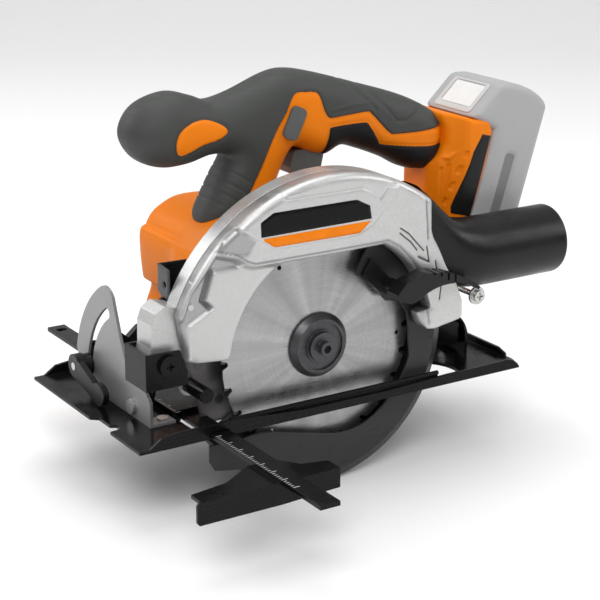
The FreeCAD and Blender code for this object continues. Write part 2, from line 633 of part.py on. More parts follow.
def make_quadrant():
    blank = slab("x", -112.0, -110.0, (12.5, 2.0), (12.5, 18.0), (17.0, 22.6), (32.0, 25.6),
                 (41.0, 28.0), (51.0, 48.5), (60.0, 72.5),
                 ((66.0, 77.0), (75.0, 76.5)), (polar(bevel_y, bevel_z, 79.0, 33.0),
                                                polar(bevel_y, bevel_z, 80.5, 11.5)),
                 (113.0, 21.0), (98.0, 12.0), (94.0, 2.0))
    a = polar(bevel_y, bevel_z, 57.0, 8.0)
    b = polar(bevel_y, bevel_z, 57.0, 33.0)
    c = polar(bevel_y, bevel_z, 57.0, 58.0)
    d = polar(bevel_y, bevel_z, 60.5, 61.4)
    e = polar(bevel_y, bevel_z, 64.0, 58.0)
    f = polar(bevel_y, bevel_z, 64.0, 33.0)
    g = polar(bevel_y, bevel_z, 64.0, 8.0)
    h = polar(bevel_y, bevel_z, 60.5, 4.6)
    slot = slab("x", -113, -109, a, (b, c), (d, e), (f, g), (h, a))
    foot_a = box(-112.0, -94.5, 12.5, 23.0, 2.0, 4.0)
    foot_b = box(-112.0, -97.0, 82.0, 94.0, 2.0, 4.0)
    shape = blank.cut(slot).fuse(foot_a).fuse(foot_b)
    shape = shape.cut(rod_x(bevel_y, bevel_z, 4.0 + fit, -114, -108))
    for x, y in foot_rivet_spots:
        shape = shape.cut(rod_z(x, y, 2.0 + fit, 1, 5))
    return shape.removeSplitter()


save("bevel_quadrant", make_quadrant())
save("foot_rivets", *[join(rod_z(x, y, 2.0, 0.4, 4.0), rod_z(x, y, 3.6, 4.0, 5.6))
                      for x, y in foot_rivet_spots])

# ---- tilting frame: front bracket, bevel pins, rear depth arm ----


def make_front_bracket():
    web = box(-129.0, -127.0, -17.0, 10.0, 38.0, 61.0)
    near_cheek = slab("y", -17.0, -15.0, (-129.0, 38.0), (-101.0, 38.0), (-101.0, 46.0),
                      (-106.0, 60.0), (-129.0, 61.0))
    far_cheek = slab("y", 8.0, 10.0, (-129.0, 38.0), (-104.6, 38.0), (-104.6, 56.0),
                     (-108.0, 61.0), (-129.0, 61.0))
    plate = slab("x", -109.0, -107.0, (8.0, 38.0), (8.0, 52.0), (20.0, 52.0),
                 (46.0, 34.0), (90.0, 32.0), ((103.0, 30.0), (104.5, 20.0)),
                 ((103.0, 11.0), (94.0, 9.0)), (50.0, 5.5), (30.0, 5.5), (18.0, 14.0))
    shape = web.fuse(near_cheek).fuse(far_cheek).fuse(plate)
    shape = shape.cut(rod_y(hinge_x, hinge_z, 4.0 + fit, -20, 20))
    shape = shape.cut(rod_x(bevel_y, bevel_z, 4.0 + fit, -114, -104))
    by, bz = clamp_spot
    shape = shape.cut(rod_x(by, bz, 2.6 + fit, -114, -104))
    return shape.removeSplitter()


clamp_spot = polar(bevel_y, bevel_z, 60.5, 9.5)
save("front_bracket", make_front_bracket())

hinge_pin = join(rod_y(hinge_x, hinge_z, 6.6, -19.8, -17.0), rod_y(hinge_x, hinge_z, 4.0, -17.0, 10.0))
hinge_pin = join(hinge_pin, rod_y(hinge_x, hinge_z, 4.8, 10.0, 12.0))
hinge_pin = hinge_pin.cut(cross_recess_y(hinge_x, hinge_z, -21, -18.2))
save("hinge_pin", hinge_pin)

front_pivot = join(rod_x(bevel_y, bevel_z, 4.8, -114.2, -112.0), rod_x(bevel_y, bevel_z, 4.0, -112.0, -105.0))
rear_pivot = join(rod_x(bevel_y, bevel_z, 4.0, 126.4, 134.0), rod_x(bevel_y, bevel_z, 6.2, 134.0, 137.0))
save("bevel_pivots", front_pivot, rear_pivot)


def make_depth_arm():
    foot = slab("x", 127.6, 129.6, (22.0, 9.6), (22.0, 24.0), (60.0, 24.0), (60.0, 4.0),
                (36.0, 4.0), (30.0, 6.4))
    foot = foot.cut(rod_x(bevel_y, bevel_z, 4.0 + fit, 120, 140))
    reach = math.hypot(depth_spot[0] - hinge_x, depth_spot[1] - hinge_z)
    rest = math.degrees(math.atan2(depth_spot[1] - hinge_z, depth_spot[0] - hinge_x))

    def spot(radius, turn):
        return polar(hinge_x, hinge_z, radius, rest + turn)

    strap = slab("y", 22.0, 24.0, (104.0, 14.0), (112.0, 10.0), (129.6, 10.0), (129.6, 24.0),
                 (118.0, 30.0), spot(reach + 8, -7.0), (spot(reach + 8, 6), spot(reach + 8, 16.4)),
                 (spot(reach, 18.6), spot(reach - 8, 16.4)),
                 (spot(reach - 8, 5), spot(reach - 8, -7.0)))
    half = 3.3
    slot = slab("y", 21.0, 25.0, spot(reach - half, -5.4),
                (spot(reach - half, 5), spot(reach - half, 15.4)),
                (spot(reach, 16.3), spot(reach + half, 15.4)),
                (spot(reach + half, 5), spot(reach + half, -5.4)),
                (spot(reach, -6.3), spot(reach - half, -5.4)))
    return foot.fuse(strap.cut(slot)).removeSplitter()


save("depth_arm", make_depth_arm())

by, bz = clamp_spot
clamp_bolt = join(hexagon_x(by, bz, 9.0, -106.9, -103.2).fuse(rod_x(by, bz, 2.6, -124.0, -106.9)))
save("bevel_bolt", clamp_bolt)
clamp_block = tube_y(0, 0, 7.0, 3.0, 0, 5.0)
clamp_block.rotate(V(0, 0, 0), V(0, 0, 1), -90)
clamp_block.translate(V(-117.4, by, bz))
save("bevel_washer", clamp_block)


def make_bevel_lever():
    hub = rod_x(by, bz, 8.0, -123.6, -117.8)
    arm = slab("x", -123.6, -119.6, (by + 6.0, bz + 5.0), (by - 2.0, bz - 8.0),
               (by - 28.0, bz - 14.0), ((by - 41.0, bz - 12.0), (by - 43.0, bz - 6.0)),
               ((by - 38.0, bz - 2.0), (by - 28.0, bz - 3.0)), (by - 8.0, bz + 5.0))
    shape = hub.fuse(arm)
    return shape.cut(rod_x(by, bz, 2.6 + fit, -130, -110)).removeSplitter()


save("bevel_lever", make_bevel_lever())

x, z = depth_spot
save("depth_bolt", rod_y(x, z, 3.0, 14.2, 33.0))


def make_depth_lever():
    hub = rod_y(x, z, 8.0, 24.6, 30.6)
    arm = slab("y", 26.6, 30.6, (x - 6.0, z - 4.0), (x + 7.0, z - 3.0), (x + 15.0, z - 26.0),
               ((x + 12.0, z - 32.0), (x + 5.0, z - 30.0)))
    return hub.fuse(arm).cut(rod_y(x, z, 3.0 + fit, 20, 40)).removeSplitter()


save("depth_lever", make_depth_lever())

# ---- rip fence and its screw ----


def make_fence():
    bar = box(bar_x - bar_half, bar_x + bar_half, -140.0, 218.0, 1.0, 3.8)
    bar = bar.cut(slab("z", 0, 5, (bar_x - 2.0, 205.0), (bar_x + 2.0, 205.0),
                       ((bar_x + 4.0, 208.0), (bar_x + 2.0, 211.0)), (bar_x - 2.0, 211.0),
                       ((bar_x - 4.0, 208.0), (bar_x - 2.0, 205.0))))
    top = slab("z", -1.2, 1.0, (-137.0, -97.0), (-137.0, -84.0), (-112.0, -80.0),
               (-90.0, -66.0), (-72.0, -66.0), (-62.0, -80.0), (-46.0, -84.0), (-46.0, -97.0))
    blade_plate = slab("y", -97.0, -95.0, (-138.5, 1.0), (-46.0, 1.0), (-46.0, -11.0),
                       (-84.0, -12.6), (-137.0, -12.6), ((-139.4, -12.0), (-140.0, -10.0)),
                       (-140.0, -1.0))
    return bar.fuse(top).fuse(blade_plate).removeSplitter()


save("rip_fence", make_fence())


def make_fence_screw():
    y = fence_screw_y
    shank = rod_z(bar_x, y, 2.5, 4.3, 16.0)
    knob = rod_z(bar_x, y, 8.5, 16.0, 22.0)
    wing = box(bar_x - 14.0, bar_x + 14.0, y - 2.5, y + 2.5, 18.0, 36.0)
    wing = wing.common(slab("y", y - 10, y + 10, (bar_x - 7, 17), (bar_x + 7, 17), (bar_x + 14, 30),
                            ((bar_x + 12, 35), (bar_x + 7, 35)), (bar_x, 29), (bar_x - 7, 35),
                            ((bar_x - 12, 35), (bar_x - 14, 30))))
    return join(shank, knob, wing)


save("fence_screw", make_fence_screw())

# ---- dust port ----


def make_dust_port():
    port_y = -5.0
    port_z = 83.3
    tube = rod_x(port_y, port_z, 23.0, 100.0, 180.0)
    flare = slab("y", -22.0, 18.0, (75.0, 122.0), (90.0, 111.0), (118.0, 104.5), (124.0, 96.0),
                 (124.0, 62.0), (108.0, 61.0), (93.0, 73.0), (75.0, 104.0))
    tab = slab("y", -10.0, -4.0, (106.0, 64.0), (124.0, 62.0), (124.0, 50.0), (112.0, 48.0),
               (104.0, 55.0))
    shape = tube.cut(box(90, 104, -30, 30, 55, 110)).fuse(flare).fuse(tab)
    bore = rod_x(port_y, port_z, 20.5, 96.0, 190.0)
    shape = shape.cut(bore)
    shape = shape.cut(box(70, 112, -17.5, 13.5, 88, 104))
    shape = shape.cut(rod_y(118.0, 54.4, 2.2, -12, 0))
    return shape


guard_room = guard_near.fuse(gear_case)
dust_port = make_dust_port().cut(guard_room)
dust_port = max(dust_port.Solids, key=lambda piece: piece.Volume)
save("dust_port", dust_port)
dust_screw = join(rod_y(118.0, 54.4, 6.0, -11.6, -10.0), rod_y(118.0, 54.4, 4.0, -14.4, -11.6),
                  rod_y(118.0, 54.4, 1.95, -10.0, 8.0))
dust_screw = dust_screw.cut(cross_recess_y(118.0, 54.4, -15, -13.0))
save("dust_screw", dust_screw)

# ---- handle shells, grips and foot ----
rail_x = 142.5               # a point on the rear face of the battery foot
rail_z = 120.0
near_y = handle_y - handle_half
far_y = handle_y + handle_half


def loop_blank():
    return slab("y", near_y, far_y, (-32.5, 162.4),
                [(-50.0, 158.8), (-66.5, 155.2), (-84.0, 155.0), (-99.0, 161.8), (-105.6, 176.6),
                 (-97.0, 192.0), (-76.6, 198.3), (-60.5, 195.0), (-48.6, 191.2), (-30.6, 194.2),
                 (-6.6, 202.8), (10.4, 206.4), (27.4, 201.8), (57.4, 193.0), (91.4, 183.0),
                 (119.0, 168.6)],
                (137.0, 164.0), (153.0, 155.0), leaned(rail_x, rail_z, -30.0, 0),
                (66.0, 91.0), (14.0, 94.0), polar(motor_x, motor_z, 42.2, 46.0),
                (polar(motor_x, motor_z, 42.2, 90.0), polar(motor_x, motor_z, 42.2, 126.0)),
                (-57.0, 116.0))


def loop_window():
    return slab("y", near_y - 1, far_y + 1, (8.4, 156.2), (32.4, 148.4), (45.4, 154.4),
                [(59.4, 150.0), (81.4, 141.0), (101.4, 131.4)], (99.4, 118.0),
                ((96.4, 111.5), (87.0, 111.0)), (19.0, 111.0), ((3.0, 114.5), (-6.0, 125.0)))


def window_rear():
    # The window runs on behind the grip as far as the battery foot.
    return slab("y", near_y - 1, far_y + 1, (80.0, 111.0), (92.0, 120.0), (100.6, 131.8),
                (110.6, 130.6), (110.6, 114.0), ((109.6, 112.0), (107.6, 111.0)))


def rim_edges(shape, test):
    # Edges of the two side faces of the loop whose middle passes the test.
    chosen = []
    for edge in shape.Edges:
        ys = [vertex.Y for vertex in edge.Vertexes]
        level = max(ys) - min(ys) < 0.01
        outside = abs(ys[0] - near_y) < 0.01 or abs(ys[0] - far_y) < 0.01
        if level and outside and test(edge):
            chosen.append(edge)
    return chosen


loop = loop_blank()
loop = loop.makeFillet(9.0, rim_edges(loop, lambda edge: edge.Length > 200))
loop = loop.cut(loop_window())
loop = loop.makeFillet(5.0, rim_edges(loop, lambda edge: -8 < edge.CenterOfMass.x < 102
                                      and 110.5 < edge.CenterOfMass.z < 156))
loop = loop.cut(window_rear())
upper_area = slab("y", 0, 90, (-122, 140), (-62, 140), (-62, 112), (-20.6, 112), (18.4, 189.0),
                  (34.4, 187.4), (41.4, 170.4), (72.9, 171.4), (92.9, 153.4), (129.4, 153.4),
                  (135.4, 159.4), (131.4, 166.0), (119.4, 168.8), (107, 212), (-122, 212))
lower_area = slab("y", 0, 90, (44.4, 147.4), (44.9, 162.4), (73.4, 163.4), (87.4, 146.0),
                  (129.4, 140.4), ((119.4, 131.4), (103.4, 128.9)), (97.4, 125.4), (67.4, 137.4))
foot_form = slab("z", 60, 200, (110.6, 31.5), (119.0, 30.5), (126.0, 26.5), (134.0, 21.0),
                 (180.0, 21.0), (180.0, 79.0), (134.0, 79.0), (126.0, 73.5), (119.0, 69.5),
                 (110.6, 68.5))
foot_block = slab("y", 20.0, 80.0, (110.6, 126.0), (113.0, 167.4), (119.0, 168.6),
                  (137.0, 164.0), (153.0, 155.0), leaned(rail_x, rail_z, -30.0, 0), (110.6, 91.0))
foot_block = foot_block.common(foot_form)
grip_upper = loop.common(upper_area)
grip_lower = loop.common(lower_area)
housing = loop.fuse(foot_block).cut(upper_area).cut(lower_area)

switch_room = box(8.0, 34.0, 38.0, 62.0, 160.0, 184.0)
trigger_way = slab("y", 41.0, 59.0, (6.0, 136.0), (6.0, 164.0), (34.0, 164.0), (34.0, 136.0))
foot_room = slab("y", 36.0, 64.0, (114.0, 124.0), (131.0, 124.0), (131.0, 100.0), (114.0, 100.0))
wire_way = slab("y", 46.0, 54.0, (28.0, 173.0), (28.0, 181.0), (107.0, 155.6), (124.0, 122.0),
                (115.0, 122.0), (99.0, 147.6))
for tool in (switch_room, trigger_way, foot_room, wire_way):
    housing = housing.cut(tool)
    grip_upper = grip_upper.cut(tool)
    grip_lower = grip_lower.cut(tool)


def tilted_button(grow, y0, y1):
    length = 21.0 + 2 * grow
    width = 11.0 + 2 * grow
    shape = box(-width / 2, width / 2, y0, y1, -length / 2, length / 2)
    edges = [edge for edge in shape.Edges
             if abs(edge.Vertexes[0].Y - edge.Vertexes[-1].Y) > 1.0]
    shape = shape.makeFillet(3.5, edges)
    shape.rotate(V(0, 0, 0), V(0, 1, 0), 25)
    shape.translate(V(3.4, 0, 174.6))
    return shape


button_way = tilted_button(0.4, near_y - 3, 38.5)
housing = housing.cut(button_way)
grip_upper = grip_upper.cut(button_way)
rail_room = slab("y", 32.0, 68.0, leaned(rail_x, rail_z, -24, -6), leaned(rail_x, rail_z, 26, -6),
                 leaned(rail_x, rail_z, 26, 1), leaned(rail_x, rail_z, -24, 1))
housing = housing.cut(rail_room)
strip_corners = [leaned(rail_x, rail_z, -24.0, -2.0), leaned(rail_x, rail_z, 33.0, -2.0),
                 leaned(rail_x, rail_z, 33.0, -7.6), leaned(rail_x, rail_z, -24.0, -11.4)]
side_strips = [slab("y", 21.0, 23.4, *strip_corners), slab("y", 76.6, 79.0, *strip_corners)]
for strip in side_strips:
    housing = housing.cut(strip)
split_near = box(-200, 300, -50, handle_y, -50, 300)
split_far = box(-200, 300, handle_y, 150, -50, 300)
save("handle_shell_near", housing.common(split_near))
save("handle_shell_far", housing.common(split_far))
save("grip_upper", grip_upper)
save("grip_lower", grip_lower)

save("lockoff_button", tilted_button(0.0, near_y - 1.6, 35.0))


def make_trigger():
    return slab("y", 41.4, 58.6, (6.6, 144.0), (9.0, 153.0), (10.4, 154.4), (30.4, 154.4),
                (31.4, 149.0), (29.4, 140.6), ((18.0, 136.4), (8.6, 139.4)))


save("trigger", make_trigger())
save("switch_body", box(10.0, 32.0, 40.0, 60.0, 164.5, 181.5))


def make_wires():
    runs = []
    for i in range(2):
        y = 48.0 + 4.0 * i
        first = V(32.2, y, 174.8)
        points = [V(40, y, 173.6), V(76, y, 161.6), V(103, y, 149.2), V(119, y, 123.0),
                  V(121, y, 112.0)]
        curve = Part.BSplineCurve()
        curve.interpolate([first] + points)
        edge = curve.toShape()
        start = curve.tangent(curve.FirstParameter)[0]
        ring = Part.Wire(Part.Circle(first, start, 1.2).toShape())
        runs.append(Part.Wire(edge).makePipeShell([ring], True, True))
    return runs


save("power_leads", *make_wires())
terminal_plate = slab("y", 32.4, 67.6, leaned(rail_x, rail_z, -23.6, -5.6),
                      leaned(rail_x, rail_z, 25.6, -5.6), leaned(rail_x, rail_z, 25.6, 0),
                      leaned(rail_x, rail_z, -23.6, 0))
save("terminal_block", terminal_plate)


def make_blades():
    blades = []
    for y in (40.0, 50.0, 60.0):
        blades.append(slab("y", y - 0.4, y + 0.4, leaned(rail_x, rail_z, -16, 0.0),
                           leaned(rail_x, rail_z, 4, 0.0), leaned(rail_x, rail_z, 4, 5.5),
                           leaned(rail_x, rail_z, -16, 5.5)))
    return blades


save("terminal_blades", *make_blades())

# ---- battery pack ----


pack_near = handle_y - pack_half
pack_far = handle_y + pack_half
pack_shell = slab("y", pack_near, pack_far, leaned(rail_x, rail_z, -45.0, gap),
                  leaned(rail_x, rail_z, 36.8, gap), (137.3, 164.5), (160.0, 185.4),
                  ((170.0, 184.6), (179.0, 181.6)), ((192.0, 176.0), (199.4, 166.0)),
                  leaned(rail_x, rail_z, -45.0, 41.0))


pack_hollow = slab("y", pack_near + 3.4, pack_far - 3.4, leaned(rail_x, rail_z, -43, 12.0),
                   leaned(rail_x, rail_z, 51.0, 12.0), leaned(rail_x, rail_z, 51.0, 37.6),
                   leaned(rail_x, rail_z, -43, 37.6))
pack_shell = pack_shell.cut(pack_hollow)
groove = slab("y", 31.0, 69.0, leaned(rail_x, rail_z, -60, -1), leaned(rail_x, rail_z, 28, -1),
              leaned(rail_x, rail_z, 28, 8.0), leaned(rail_x, rail_z, -60, 8.0))
pack_shell = pack_shell.cut(groove)
latch_room = slab("y", 34.0, 66.0, (139.0, 169.0), (155.6, 184.0), (162.6, 177.0), (149.0, 163.4))
pack_shell = pack_shell.cut(latch_room)
pack_cut = box(80, 240, -10, handle_y, 40, 240)
save("pack_shell_near", pack_shell.common(pack_cut))
save("pack_shell_far", pack_shell.cut(pack_cut))


def make_cells():
    cells = []
    radius = 9.1
    for i in range(5):
        x, z = leaned(rail_x, rail_z, -33.0 + 18.6 * i, 22.4)
        cells.append(rod_y(x, z, radius, pack_near + 3.8, pack_far - 3.8))
    return cells


save("battery_cells", *make_cells())
latch = slab("y", 34.4, 65.6, (142.6, 169.6), (156.0, 182.0), (158.6, 179.4), (146.0, 167.6))
save("battery_button", latch)
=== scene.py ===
import math

import bpy
import numpy as np
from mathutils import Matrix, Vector


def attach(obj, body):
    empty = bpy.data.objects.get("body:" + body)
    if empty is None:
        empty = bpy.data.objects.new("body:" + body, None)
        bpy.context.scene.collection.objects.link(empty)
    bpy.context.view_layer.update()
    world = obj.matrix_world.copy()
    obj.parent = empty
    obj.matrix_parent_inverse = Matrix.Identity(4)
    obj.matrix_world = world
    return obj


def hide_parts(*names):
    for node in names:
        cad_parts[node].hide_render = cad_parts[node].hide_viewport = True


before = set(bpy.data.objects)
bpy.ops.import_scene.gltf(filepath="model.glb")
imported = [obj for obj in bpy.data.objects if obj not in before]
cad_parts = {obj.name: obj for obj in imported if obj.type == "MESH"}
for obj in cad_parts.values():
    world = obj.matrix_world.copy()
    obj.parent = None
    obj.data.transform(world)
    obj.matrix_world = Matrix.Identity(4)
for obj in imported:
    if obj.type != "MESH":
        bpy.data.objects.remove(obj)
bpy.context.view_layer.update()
print("frame loaded:", len(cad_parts), "nodes")

mm = 0.001
spindleZ = 39.5       # spindle height above the sole, mm
handleY = 50.0        # middle plane of the handle and the battery, mm


def addNode(tree, kind, **values):
    made = tree.nodes.new(kind)
    for key, value in values.items():
        if key in made.inputs:
            made.inputs[key].default_value = value
        else:
            setattr(made, key, value)
    return made


def wire(tree, source, output, target, socket):
    tree.links.new(source.outputs[output], target.inputs[socket])


def mathNode(tree, operation, first, second=None, clamp=False):
    # first and second are numbers or (node, output) pairs
    made = tree.nodes.new("ShaderNodeMath")
    made.operation = operation
    made.use_clamp = clamp
    for index, value in enumerate((first, second)):
        if value is None:
            continue
        if isinstance(value, tuple):
            tree.links.new(value[0].outputs[value[1]], made.inputs[index])
        else:
            made.inputs[index].default_value = value
    return made


def rampNode(tree, source, stops):
    # stops are (place, grey or colour) pairs
    ramp = tree.nodes.new("ShaderNodeValToRGB")
    tree.links.new(source[0].outputs[source[1]], ramp.inputs["Fac"])
    elements = ramp.color_ramp.elements
    for index, (place, tone) in enumerate(stops):
        spot = elements[index] if index < 2 else elements.new(place)
        spot.position = place
        spot.color = tone if isinstance(tone, tuple) else (tone, tone, tone, 1)
    return ramp


def mixColour(tree, share, first, second):
    # share, first and second are fixed values or (node, output) pairs
    made = tree.nodes.new("ShaderNodeMix")
    made.data_type = "RGBA"
    for socket, value in ((0, share), (6, first), (7, second)):
        if isinstance(value, tuple) and hasattr(value[0], "outputs"):
            tree.links.new(value[0].outputs[value[1]], made.inputs[socket])
        else:
            made.inputs[socket].default_value = value
    return made


def tone(colour, factor):
    return tuple(min(1.0, c * factor) for c in colour[:3]) + (1.0,)


def multiplyColour(tree, first, second):
    # both are (node, output) pairs
    made = tree.nodes.new("ShaderNodeMix")
    made.data_type = "RGBA"
    made.blend_type = "MULTIPLY"
    made.inputs[0].default_value = 1.0
    tree.links.new(first[0].outputs[first[1]], made.inputs[6])
    tree.links.new(second[0].outputs[second[1]], made.inputs[7])
    return made


def baseFinish(name, look):
    # colour, roughness and relief shared by every finish: cloudy colour, a fine moulded or cast
    # grain, thin scratches, softened corners and a paler or darker wear line along the corners
    material = bpy.data.materials.new(name)
    material.use_nodes = True
    tree = material.node_tree
    shader = tree.nodes["Principled BSDF"]
    colour = look["colour"] + (1.0,)
    place = addNode(tree, "ShaderNodeTexCoord")
    cloud = addNode(tree, "ShaderNodeTexNoise", Scale=45.0, Detail=5.0, Roughness=0.6)
    wire(tree, place, "Object", cloud, "Vector")
    fine = addNode(tree, "ShaderNodeTexNoise", Scale=look["grain"], Detail=3.0, Roughness=0.55)
    wire(tree, place, "Object", fine, "Vector")
    shade = rampNode(tree, (cloud, "Fac"), [(0.3, 1.0 - look["spread"]), (0.7, 1.0)])
    tinted = tree.nodes.new("ShaderNodeMix")
    tinted.data_type = "RGBA"
    tinted.blend_type = "MULTIPLY"
    tinted.inputs[0].default_value = 1.0
    tinted.inputs[6].default_value = colour
    tree.links.new(shade.outputs["Color"], tinted.inputs[7])
    speckle = rampNode(tree, (fine, "Fac"), [(0.35, 0.0), (0.75, 1.0)])
    grainShare = mathNode(tree, "MULTIPLY", (speckle, "Color"), look["speckle"])
    speckled = mixColour(tree, (grainShare, 0), (tinted, 2), tone(look["colour"], look["speckleTone"]))
    # thin scratches: noise stretched along one way
    mapping = addNode(tree, "ShaderNodeMapping", Scale=(40.0, 40.0, 900.0), Rotation=(0.3, 0.5, 0.2))
    wire(tree, place, "Object", mapping, "Vector")
    lines = addNode(tree, "ShaderNodeTexNoise", Scale=1.0, Detail=6.0, Roughness=0.7)
    wire(tree, mapping, "Vector", lines, "Vector")
    rough, swing = look["rough"], 0.12
    blend = mathNode(tree, "MULTIPLY", (cloud, "Fac"), (lines, "Fac"))
    roughness = addNode(tree, "ShaderNodeMapRange")
    wire(tree, blend, 0, roughness, "Value")
    roughness.inputs["From Min"].default_value = 0.12
    roughness.inputs["From Max"].default_value = 0.42
    roughness.inputs["To Min"].default_value = max(0.03, rough - swing)
    roughness.inputs["To Max"].default_value = min(1.0, rough + swing)
    wire(tree, roughness, "Result", shader, "Roughness")
    # corners: the softened normal against the true one
    bevel = addNode(tree, "ShaderNodeBevel", samples=4, Radius=look["corner"])
    shape = addNode(tree, "ShaderNodeNewGeometry")
    dot = tree.nodes.new("ShaderNodeVectorMath")
    dot.operation = "DOT_PRODUCT"
    tree.links.new(bevel.outputs["Normal"], dot.inputs[0])
    tree.links.new(shape.outputs["Normal"], dot.inputs[1])
    worn = rampNode(tree, (dot, "Value"), [(0.80, 1.0), (0.985, 0.0)])
    patch = rampNode(tree, (lines, "Fac"), [(0.35, 0.15), (0.6, 1.0)])
    amount = mathNode(tree, "MULTIPLY", (worn, "Color"), (patch, "Color"))
    amount = mathNode(tree, "MULTIPLY", (amount, 0), look["wear"])
    edged = mixColour(tree, (amount, 0), (speckled, 2), tone(look["colour"], look["wearTone"]))
    height = mathNode(tree, "MULTIPLY", (lines, "Fac"), 0.25)
    height = mathNode(tree, "ADD", (fine, "Fac"), (height, 0))
    bump = addNode(tree, "ShaderNodeBump", Strength=look["bump"], Distance=look["depth"])
    wire(tree, height, 0, bump, "Height")
    wire(tree, bevel, "Normal", bump, "Normal")
    wire(tree, bump, "Normal", shader, "Normal")
    shader.inputs["Metallic"].default_value = look["metal"]
    shader.inputs["Specular IOR Level"].default_value = look["specular"]
    parts = {"tree": tree, "shader": shader, "place": place, "bump": bump, "height": height}
    return material, parts, (edged, 2)


def plainFinish(name, look):
    material, parts, last = baseFinish(name, look)
    parts["tree"].links.new(last[0].outputs[last[1]], parts["shader"].inputs["Base Color"])
    return material


def turnedFinish(name, look):
    # rings about the spindle from noise on the distance to its axis, and a painted sheen: broad lighter and
    # darker sectors from noise on the turn about the spindle
    material, parts, last = baseFinish(name, look)
    tree = parts["tree"]
    centred = addNode(tree, "ShaderNodeMapping", Location=look["centre"])
    centred.vector_type = "POINT"
    wire(tree, parts["place"], "Object", centred, "Vector")
    split = addNode(tree, "ShaderNodeSeparateXYZ")
    wire(tree, centred, "Vector", split, "Vector")
    xx = mathNode(tree, "MULTIPLY", (split, "X"), (split, "X"))
    zz = mathNode(tree, "MULTIPLY", (split, "Z"), (split, "Z"))
    radius = mathNode(tree, "SQRT", (mathNode(tree, "ADD", (xx, 0), (zz, 0)), 0))
    angle = mathNode(tree, "ARCTAN2", (split, "Z"), (split, "X"))
    joined = addNode(tree, "ShaderNodeCombineXYZ")
    wire(tree, mathNode(tree, "MULTIPLY", (radius, 0), look["rings"]), 0, joined, "X")
    wire(tree, mathNode(tree, "MULTIPLY", (angle, 0), 1.3), 0, joined, "Y")
    rings = addNode(tree, "ShaderNodeTexNoise", Scale=1.0, Detail=3.0, Roughness=0.6)
    wire(tree, joined, "Vector", rings, "Vector")
    # painted sheen: the colour darkens and lightens with the turn about the spindle, standing in for the
    # bands of reflection on ground steel
    sheenAngle = addNode(tree, "ShaderNodeCombineXYZ")
    wire(tree, mathNode(tree, "MULTIPLY", (angle, 0), 3.0), 0, sheenAngle, "X")
    sweep = addNode(tree, "ShaderNodeTexNoise", Scale=1.0, Detail=2.0, Roughness=0.5)
    wire(tree, sheenAngle, "Vector", sweep, "Vector")
    light = rampNode(tree, (rings, "Fac"), [(0.3, look["ringDark"]), (0.7, 1.0)])
    paintedSheen = rampNode(tree, (sweep, "Fac"), [(0.35, look["paintedSheenDark"]), (0.65, 1.0)])
    first = multiplyColour(tree, last, (light, "Color"))
    second = multiplyColour(tree, (first, 2), (paintedSheen, "Color"))
    tree.links.new(second.outputs[2], parts["shader"].inputs["Base Color"])
    ridge = mathNode(tree, "MULTIPLY", (rings, "Fac"), 1.4)
    total = mathNode(tree, "ADD", (parts["height"], 0), (ridge, 0))
    tree.links.new(total.outputs[0], parts["bump"].inputs["Height"])
    return material


def zonedFinish(name, look, zones):
    # zones: (attribute, colour, edge width) painted where the attribute, a signed distance
    # in mm stored on the points, is above zero
    material, parts, last = baseFinish(name, look)
    tree = parts["tree"]
    for attribute, colour, soft in zones:
        stored = addNode(tree, "ShaderNodeAttribute", attribute_name=attribute)
        share = addNode(tree, "ShaderNodeMapRange")
        wire(tree, stored, "Fac", share, "Value")
        share.inputs["From Min"].default_value = -soft
        share.inputs["From Max"].default_value = soft
        painted = mixColour(tree, (share, "Result"), last, colour + (1.0,))
        last = (painted, 2)
    tree.links.new(last[0].outputs[last[1]], parts["shader"].inputs["Base Color"])
    return material


# what every finish starts from; each finish names only what differs from this

commonLook = dict(rough=0.36, spread=0.2, grain=1500.0, speckle=0.2, speckleTone=1.2, bump=0.1,
                  depth=0.0002, wear=0.3, wearTone=1.3, metal=0.0, specular=0.5, corner=0.0006)

# material name and what differs, for the finishes with no pattern of their own

